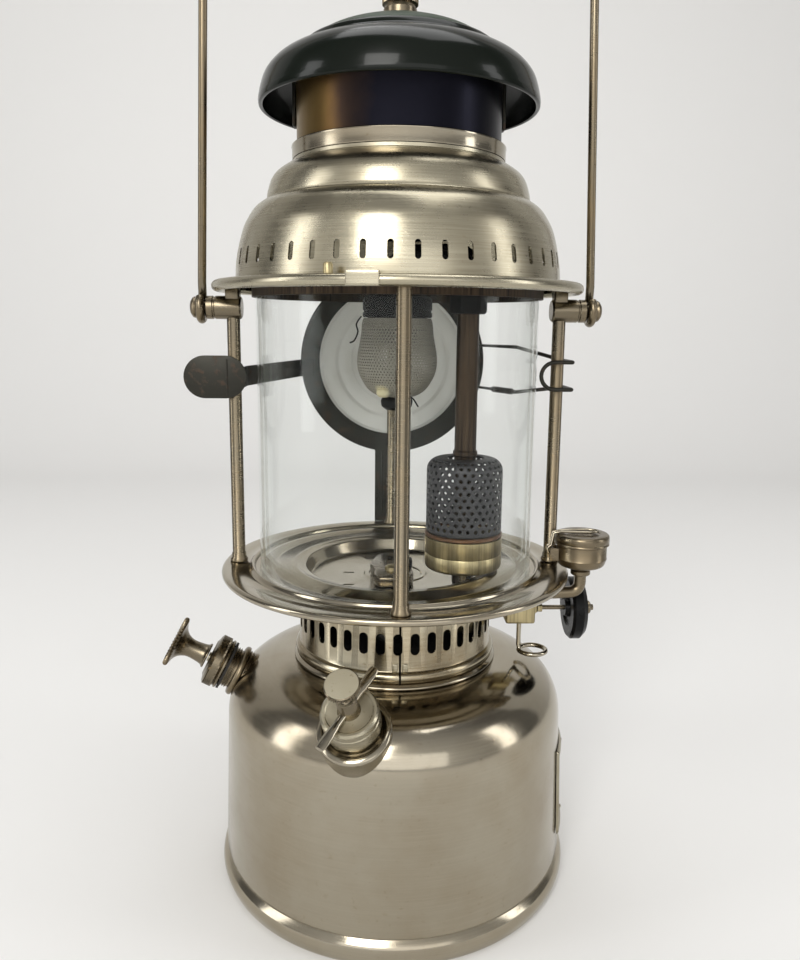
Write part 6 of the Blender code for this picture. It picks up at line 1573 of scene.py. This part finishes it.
class LANTERN_OT_spirit_cup(LanternTool, bpy.types.Operator):
    """Model the spirit cup with its lid, the lid's wire spring and the pipe under it"""

    bl_idname = "lantern.spirit_cup"
    bl_label = "Spirit cup"

    radius: length("Cup radius", "Radius of the spirit cup", 0.0114)
    lid: length("Lid radius", "Radius of the spirit cup's lid", 0.0124)
    pipe: length("Pipe radius", "Radius of the pipe under the cup", 0.00275)

    def build(self):
        pin = Vector(JOINT["lid_open"]["pos_m"])
        x, y = 0.0855, -0.0162
        at = Matrix.Translation((x, y, 0.0))
        lid_top = high("spirit_lid").z + 0.0016
        self.make_cup(at, pin, x, y)
        self.make_lid(at, lid_top)
        self.make_spring(pin, x, y, lid_top)
        self.make_pipe(x, y)

    def make_cup(self, at, pin, x, y):
        r, sheet, cheek = self.radius, 0.0008, 0.0006
        bottom, top = levels("spirit_cup")
        line = [(0.0, bottom + sheet)] + mm((-3.0, 0.8), (-0.8, 2.6), r=r, z=bottom)
        line += [(r - sheet, top), (r, top)]
        line += mm((0.0, 4.6), (0.2, 4.2), (0.0, 3.6), r=r, z=bottom)
        line += smooth(mm((-0.2, 3.0), (-0.9, 1.2), (-2.4, 0.2), (-5.0, 0.0), r=r, z=bottom), 3)
        line += mm((4.2, 0.0), (3.8, -0.8), (0.0, -0.8), z=bottom)
        parts = [place(spun("spirit_pot", line, ROUND), at)]
        for side in (-1, 1):
            edge = y + side * 0.0030
            parts.append(block("lug", (pin.x - 0.0012, edge - cheek, bottom + 0.0030),
                               (x - r + 0.0004, edge + cheek, pin.z + 0.0012), 0.0004))
        hinge = spun("pin", rod_line(0.0012, -0.0040, 0.0040), THIN)
        parts.append(place(hinge, Matrix.Translation((pin.x, y, pin.z)) @ UPRIGHT))
        cup = join("spirit_pot", *parts)
        shade(cup)
        dress(cup, "spirit_cup", look="aged_nickel")

    def make_lid(self, at, lid_top):
        r, inner, rim, ceiling = self.lid, 0.0117, 0.1625, 0.1658
        face = mm((0.0, -0.2), (5.0, -0.2), (7.8, -0.4), (8.4, 0.0), (11.0, 0.0), (12.0, -0.4), z=lid_top)
        line = smooth(face + [(r, lid_top - 0.0012)], 4)
        line += mm((0.0, 1.5), (-0.2, 1.2), (0.0, 0.9), (0.0, 0.3), (-0.4, 0.0), r=r, z=rim)
        line += [(inner, rim), (inner, ceiling), (0.0, ceiling)]
        dress(place(spun("spirit_cover", line, ROUND), at), "spirit_lid", look="aged_nickel")

    def make_spring(self, pin, x, y, lid_top):
        """Two wires that curl round the hinge pin and meet over the lid."""
        eye, over = 0.0010 + GAP + 0.0006, lid_top + GAP + 0.0006
        curl = [math.radians(angle) for angle in range(10, -171, -15)]
        path = [(pin.x + eye * math.sin(a), 0.0013, pin.z - eye * math.cos(a)) for a in curl]
        path += [(pin.x + eye * 0.4, 0.0013, over - 0.0006), (pin.x + 0.0040, 0.0012, over),
                 (x - 0.0040, 0.0020, over), (x + 0.0030, 0.0026, over), (x + 0.0066, 0.0016, over),
                 (x + 0.0074, 0.0, over)]
        wires = [tube("wire", [(along, y + side * aside, up) for along, aside, up in path], 0.00055, sides=4)
                 for side in (-1, 1)]
        dress(join("lid_spring", *wires), "lid_wire")

    def make_pipe(self, x, y):
        bottom, radius = low("spirit_cup").z, self.pipe
        run = PLATE_TOP - 0.0069 - radius - GAP * 2
        across, entry = VAPORISER[0], VAPORISER[1] - 0.0105
        corners = [(x, y, bottom - GAP), (x, y, run), (across, entry, run), (across, entry, 0.1500)]
        dress(tube("spirit_elbow", bent(corners, 0.0055, 8), radius, sides=8), "spirit_pipe")
        line = mm((2.8, 0.0), (4.1, 0.0), (4.5, 0.5), (4.5, 2.0), (4.1, 2.5), (2.8, 2.5), (2.8, 0.0))
        nut = place(spun("spirit_pipe_nut", line, SMALL), Matrix.Translation((x, y, bottom - 0.0042)))
        trim(nut, "spirit_pipe")


# Valve gear

class LANTERN_OT_valve_gear(LanternTool, bpy.types.Operator):
    """Model the valve, its spindle and bearing, the hand wheel and the wire key"""

    bl_idname = "lantern.valve_gear"
    bl_label = "Valve gear"

    wheel: length("Wheel radius", "Radius of the hand wheel", 0.0150)
    riser: length("Riser radius", "Radius of the fuel riser", 0.0037)
    key: length("Key ring radius", "Radius of the wire key's ring", 0.0066)

    def build(self):
        axis = Matrix.Translation(JOINT["wheel_turn"]["pos_m"]) @ Matrix.Rotation(math.pi / 2, 4, "Y")
        self.make_valve()
        self.make_wheel(axis)
        self.make_bearing(axis)
        self.make_key()

    def make_valve(self):
        dress(block("valve_housing", low("valve_body"), high("valve_body"), 0.0016), "valve_body")
        x, level = low("valve_body").x, middle("valve_body").z
        corners = [(0.0, 0.0, 0.020), (0.0, 0.0, level), (x - GAP, 0.0, level)]
        riser = tube("riser_pipe", bent(corners, 0.010, 8), self.riser, sides=6)
        line = mm((3.7, 105.3), (8.0, 105.3), (9.0, 106.0), (9.0, 110.6), (8.0, 111.3), (3.7, 111.3))
        riser = join("fuel_feed", riser, spun("gland", line, 6, 20.0))
        dress(riser, "fuel_riser", look="dark_steel")

    def make_wheel(self, axis):
        inner, r, wide = low("hand_wheel").x, self.wheel, high("hand_wheel").x
        left, right = inner + 0.0014, wide - 0.0024
        line = mm((1.4, 0.0), (4.0, 0.0), (4.6, -0.6), z=wide)
        line += mm((5.0, -0.8), (8.6, -1.2), (9.6, 0.0), z=right)
        line += mm((-2.2, 0.0), (0.0, -2.2), r=r, z=right) + mm((0.0, 1.2), (-1.2, 0.0), r=r, z=left)
        line += mm((9.0, 0.0), (8.0, 1.0), (4.6, 1.0), z=left)
        line += mm((4.0, 0.0), (1.4, 0.0), z=inner) + line[:1]
        dress(place(spun("wheel_moulding", line, 120, 30.0), axis), "hand_wheel")
        end, outer, nut = low("valve_spindle").x, high("valve_spindle").x, wide + GAP
        line = [(0.0, outer), (0.0014, outer)]
        line += mm((1.6, 1.6), (2.6, 1.4), (3.2, 0.8), (3.2, 0.0), (1.1, 0.0), z=nut)
        line += [(0.0011, end), (0.0, end)]
        dress(place(spun("wheel_spindle", line, THIN), axis), "valve_spindle")

    def make_bearing(self, axis):
        bearing = block("bearing_casting", (0.0520, -0.0132, 0.1223), high("bearing_block"), 0.0011)
        line = mm((1.4, 45.4), (3.0, 45.4), (3.4, 46.0), (3.4, 53.0), (1.4, 53.0), (1.4, 45.4))
        boss = place(spun("boss", line, SMALL), axis)
        bearing = join("bearing_casting", bearing, boss)
        shade(bearing)
        dress(bearing, "bearing_block")
        line = mm((1.3, 66.3), (3.0, 66.3), (3.4, 66.8), (3.4, 68.6), (2.4, 69.4), (2.4, 71.6),
                  (1.3, 71.6), (1.3, 66.3))
        trim(place(spun("spindle_gland", line, 6, 20.0), axis), "bearing_block")

    def make_key(self):
        key, r, steps = Vector(JOINT["key_turn"]["pos_m"]), self.key, 40
        path = [(key.x, key.y, 0.1263), (key.x, key.y, key.z + 0.0034),
                (key.x + 0.0004, key.y - 0.0002, key.z + 0.0016)]
        for k in range(steps + 1):
            angle = math.pi + math.radians(8.0 + 318.0 * k / steps)
            path.append((key.x + r + r * math.cos(angle), key.y + r * math.sin(angle),
                         key.z + 0.0006 * (1 - k / steps)))
        dress(tube("key_ring_wire", path, 0.0011, sides=6), "key_wire")


# Reflector

class LANTERN_OT_reflector(LanternTool, bpy.types.Operator):
    """Model the reflector: enamelled disc, frame with its leg, arm with the tab, and wire clip"""

    bl_idname = "lantern.reflector"
    bl_label = "Reflector"

    height: length("Reflector height", "Height of the reflector's middle", 0.2410)
    ring: length("Frame radius", "Outer radius of the frame", 0.0508)
    bore: length("Frame bore", "Inner radius of the frame", 0.0405)
    disc: length("Disc radius", "Radius of the enamelled disc", 0.0435)
    face: length("Frame distance", "How far behind the middle the frame stands", 0.0796)
    sheet: length("Sheet", "Thickness of the frame, disc and arm", 0.0010)
    leg: length("Leg half width", "Half the width of the frame's leg", 0.0095)

    def build(self):
        hinge = Vector(JOINT["clip_swing"]["pos_m"])
        self.make_frame(hinge)
        self.make_disc()
        self.make_arm()
        self.make_clip(hinge)

    def trim_top(self, obj):
        """Cuts a piece off flat under the upper ring."""
        level = high("reflector_disc").z
        cut(obj, block("top_cutter", (-0.07, 0.07, level), (0.07, 0.09, level + 0.05)))

    def make_frame(self, hinge):
        height, face, sheet, leg = self.height, self.face, self.sheet, self.leg
        meet = math.degrees(math.asin(leg / self.ring))
        outline = arc(0.0, 0.0, self.ring, -90.0 + meet, 270.0 - meet, 120)
        outline += [(-leg, 0.1498 - height), (leg, 0.1498 - height)]
        rack = plate("reflector_rack", outline, sheet, Matrix.Identity(4))
        cut(rack, spun("bore_cutter", rod_line(self.bore, -0.005, 0.005), 128))
        round_edges(rack, 0.00025, 2)
        place(rack, Matrix.Translation((0.0, face + sheet / 2, height)) @ UPRIGHT)
        self.trim_top(rack)
        for side in (-1, 1):
            x, y = side * 0.0055, face - 0.0001
            rib = tube("rib", [(x, y, 0.1560), (x, y, 0.1900)], 0.0005, sides=3)
            rack = join("reflector_rack", rack, rib)
        knuckle = spun("knuckle", ring_line(0.00125, 0.0019, hinge.z - 0.0065, hinge.z + 0.0065), THIN)
        rack = join("reflector_rack", rack, place(knuckle, Matrix.Translation((hinge.x, hinge.y, 0.0))))
        shade(rack)
        dress(rack, "reflector_frame")

    def make_disc(self):
        r, dish, sheet = self.disc, 0.0026, self.sheet
        shares = ((1.0, 0.0), (0.93, 0.0), (0.915, 0.12), (0.90, 0.4), (0.88, 0.44), (0.74, 0.40),
                  (0.72, 0.52), (0.70, 0.75), (0.68, 0.79), (0.54, 0.75), (0.52, 0.86), (0.50, 1.0),
                  (0.0, 1.0))
        disc = spun("enamel_disc", [(r * across, -dish * deep) for across, deep in shares], 128, 30.0)
        thicken(disc, sheet, -1.0 if points_up(disc, -dish) > 0 else 1.0)
        place(disc, Matrix.Translation((0.0, self.face + sheet + GAP, self.height)) @ UPRIGHT)
        self.trim_top(disc)
        shade(disc, 30.0)
        dress(disc, "reflector_disc")
        paint_faces(disc, "dark_steel", lambda centre, normal: normal.y > 0.3)

    def make_arm(self):
        """A strip from the frame round the left post, with a rounded tab and a crease."""
        sheet, arm_high, arm_z = self.sheet, 0.0092, self.height - 0.0040
        side_x, front = -POST_CIRCLE + POST_RADIUS + 0.0012, -POST_RADIUS - 0.0012
        lap = self.face - GAP - sheet
        ring_x = -math.sqrt(self.ring ** 2 - 0.0040 ** 2)
        line = [(ring_x + 0.0070, lap + sheet / 2), (ring_x, lap + sheet / 2), (side_x + sheet / 2, 0.0059),
                (side_x + sheet / 2, front)]
        strip = bent([(x, y, 0.0) for x, y in line], 0.0016, 4)
        left, right = [], []
        for k, point in enumerate(strip):
            way = (strip[min(k + 1, len(strip) - 1)] - strip[max(k - 1, 0)]).normalized()
            aside = Vector((-way.y, way.x, 0.0)) * sheet / 2
            left.append(tuple(point + aside)[:2])
            right.append(tuple(point - aside)[:2])
        arm = plate("arm", left + right[::-1], arm_high, Matrix.Translation((0.0, 0.0, arm_z)), 0.0002)
        half, end = 0.0142, 0.00965
        stadium = arc(half - end, 0.0, end, -90.0, 90.0, 24) + arc(end - half, 0.0, end, 90.0, 270.0, 24)
        tab_place = Matrix.Translation((-0.0682 - half, front - sheet / 2, arm_z)) @ UPRIGHT
        tab = plate("tab", stadium, sheet, tab_place, 0.00025)
        x, y, reach = -0.0770, front - sheet, 0.0080
        crease = tube("crease", [(x, y, arm_z - reach), (x, y, arm_z + reach)], 0.00035, sides=3)
        arm = join("arm_with_tab", arm, tab, crease)
        shade(arm)
        dress(arm, "reflector_arm")

    def make_clip(self, hinge):
        """A closed wire loop round the left post, with a round end and a crimp."""
        r, curl, spread, narrow = POST_RADIUS, 0.0062, 0.0115, 0.0062
        high_z, low_z = hinge.z + spread, hinge.z - spread
        hook_high, hook_low = hinge.z + narrow, hinge.z - narrow
        outer, tip = POST_CIRCLE + 0.0053, POST_CIRCLE - 0.0090
        front, behind = -0.0083, r + 0.0053
        mid_x, mid_y = (hinge.x + outer) / 2, (hinge.y + behind) / 2
        path = [(hinge.x, hinge.y, high_z), (mid_x, mid_y + r, high_z), (outer, behind, hook_high),
                (outer, front, hook_high)]
        path += [(x, front, z) for x, z in arc(tip + curl, hinge.z, curl, 90.0, 270.0, 12)]
        path += [(outer, front, hook_low), (outer, behind, hook_low), (mid_x, mid_y, low_z),
                 (hinge.x, hinge.y, low_z)]
        clip = tube("clip_loop", bent(path, 0.0012, 4), 0.00095, closed=True, sides=4)
        start, end = Vector((mid_x, mid_y, low_z)), Vector((hinge.x, hinge.y, low_z))
        sleeve = [start.lerp(end, share) for share in (0.10, 0.14, 0.50, 0.54)]
        clip = join("clip_loop", clip, tube("crimp", sleeve, 0.0016, sides=4))
        dress(clip, "reflector_clip")


# Stage

def add_lamp(name, energy, size, place_at, target, tone=(1.0, 1.0, 1.0)):
    clear_selection()
    bpy.ops.object.light_add(type="AREA", location=place_at)
    lamp = bpy.context.object
    lamp.name = name
    lamp.data.energy = energy
    lamp.data.shape = "RECTANGLE"
    lamp.data.size, lamp.data.size_y = size
    lamp.data.color = tone
    lamp.rotation_euler = (Vector(target) - Vector(place_at)).to_track_quat("-Z", "Y").to_euler()


class LANTERN_OT_stage(LanternTool, bpy.types.Operator):
    """Set up the pale floor, the soft light and the camera of the photograph"""

    bl_idname = "lantern.stage"
    bl_label = "Stage"

    focal_pixels: FloatProperty(name="Focal length", description="Focal length in the photograph's pixels",
                                default=819.905)
    centre_row: FloatProperty(name="Centre row", description="Row of the optical axis in the photograph",
                              default=466.79)
    pitch: turning("Pitch", "How far the camera looks down", 9.874)
    roll: turning("Roll", "How far the camera leans", 0.5748)
    yaw: turning("Yaw", "How far the camera stands round the lantern", -2.1)

    def build(self):
        self.make_camera()
        self.make_floor()
        self.make_light()
        bpy.context.scene.view_settings.view_transform = "Standard"

    def make_camera(self):
        wide, tall, sensor = 800, 960, 36.0
        clear_selection()
        bpy.ops.object.camera_add(location=(0.0, 0.0, 0.0))
        camera = bpy.context.object
        camera.name = "photo_camera"
        data = camera.data
        data.sensor_width = sensor
        data.lens = self.focal_pixels / max(wide, tall) * sensor
        data.shift_y = (self.centre_row - tall / 2) / max(wide, tall)
        data.clip_start = 0.01
        turned = Matrix.Rotation(self.yaw, 4, "Z")
        place_at = turned @ Vector((0.00183, -0.37991, 0.26140))
        tilted = Matrix.Rotation(math.pi / 2 - self.pitch, 4, "X") @ Matrix.Rotation(self.roll, 4, "Z")
        camera.matrix_world = Matrix.Translation(place_at) @ turned @ tilted
        bpy.context.scene.camera = camera

    def make_floor(self):
        back, sweep, wide, near, tall = 1.6, 0.6, 9.0, -4.0, 4.0
        line = [(near, 0.0)] + arc(back - sweep, sweep, sweep, -90.0, 0.0, 24) + [(back, tall)]
        floor = chain("pale_floor", [(-wide / 2, y, z) for y, z in line])
        bpy.ops.mesh.extrude_edges_move(TRANSFORM_OT_translate={"value": (wide, 0.0, 0.0)})
        bpy.ops.mesh.select_all(action="SELECT")
        bpy.ops.mesh.normals_make_consistent(inside=False)
        leave()
        shade(floor)
        look = Finish("pale_floor", colours().floor, 0.9)
        look.set("Roughness", 0.85 + 0.1 * look.noise(3.0))
        floor.data.materials.append(look.material)

    def make_light(self):
        """A pale sky for the camera, one that darkens to the back for the metal, and five lamps."""
        world = bpy.context.scene.world or bpy.data.worlds.new("World")
        bpy.context.scene.world = world
        world.use_nodes = True
        tree = world.node_tree
        tree.nodes.clear()

        def node(kind, **values):
            made = tree.nodes.new(f"ShaderNode{kind}")
            for socket, value in values.items():
                made.inputs[socket.replace("_", " ")].default_value = value
            return made

        output, towards, split = node("OutputWorld"), node("TexCoord"), node("SeparateXYZ")
        seen = node("Background", Color=(0.80, 0.795, 0.785, 1.0), Strength=1.0)
        lit = node("Background", Color=(1.0, 0.99, 0.97, 1.0))
        level = node("MapRange", From_Min=-0.9, From_Max=0.0, To_Min=0.75, To_Max=0.16)
        path, mix = node("LightPath"), node("MixShader")
        for source, socket in ((towards.outputs["Generated"], split.inputs[0]),
                               (split.outputs["Y"], level.inputs["Value"]),
                               (level.outputs[0], lit.inputs["Strength"]),
                               (path.outputs["Is Camera Ray"], mix.inputs[0]),
                               (lit.outputs[0], mix.inputs[1]),
                               (seen.outputs[0], mix.inputs[2]),
                               (mix.outputs[0], output.inputs["Surface"])):
            tree.links.new(source, socket)
        target = (0.0, 0.0, 0.22)
        add_lamp("window_front", 15.0, (0.7, 0.9), (-0.45, -1.5, 1.15), target, (1.0, 0.985, 0.95))
        add_lamp("window_left", 5.0, (0.35, 1.2), (-1.35, -0.35, 0.6), target)
        add_lamp("window_right", 3.5, (0.3, 1.1), (1.35, -0.35, 0.6), target)
        add_lamp("fill", 7.0, (2.4, 1.0), (0.0, -1.9, 0.60), (0.0, 0.0, 0.24))
        add_lamp("ceiling", 9.0, (1.3, 0.8), (0.1, 0.15, 1.6), target)


class LANTERN_PT_panel(bpy.types.Panel):
    """Sizes, colours and pieces of the lantern"""

    bl_label = "Pressure lantern"
    bl_idname = "LANTERN_PT_panel"
    bl_space_type = "VIEW_3D"
    bl_region_type = "UI"
    bl_category = "Lantern"

    def draw(self, context):
        layout = self.layout
        for group in (context.scene.lantern_sizes, context.scene.lantern_colours):
            box = layout.box()
            for name in group.bl_rna.properties.keys():
                if name not in ("rna_type", "name"):
                    box.prop(group, name)
        for tool in TOOLS:
            layout.operator(tool.bl_idname)


TOOLS = (LANTERN_OT_finishes, LANTERN_OT_stage, LANTERN_OT_tank, LANTERN_OT_pump, LANTERN_OT_filler,
         LANTERN_OT_gallery, LANTERN_OT_upper_ring, LANTERN_OT_bail, LANTERN_OT_hood, LANTERN_OT_cap,
         LANTERN_OT_burner, LANTERN_OT_preheater, LANTERN_OT_spirit_cup, LANTERN_OT_valve_gear,
         LANTERN_OT_reflector)
CLASSES = (LanternSizes, LanternColours, *TOOLS, LANTERN_PT_panel)


def register():
    for kind in CLASSES:
        bpy.utils.register_class(kind)
    bpy.types.Scene.lantern_sizes = PointerProperty(type=LanternSizes)
    bpy.types.Scene.lantern_colours = PointerProperty(type=LanternColours)


def unregister():
    del bpy.types.Scene.lantern_colours
    del bpy.types.Scene.lantern_sizes
    for kind in reversed(CLASSES):
        bpy.utils.unregister_class(kind)


def main():
    register()
    for tool in TOOLS:
        group, name = tool.bl_idname.split(".")
        getattr(getattr(bpy.ops, group), name)()


if __name__ == "__main__":
    main()
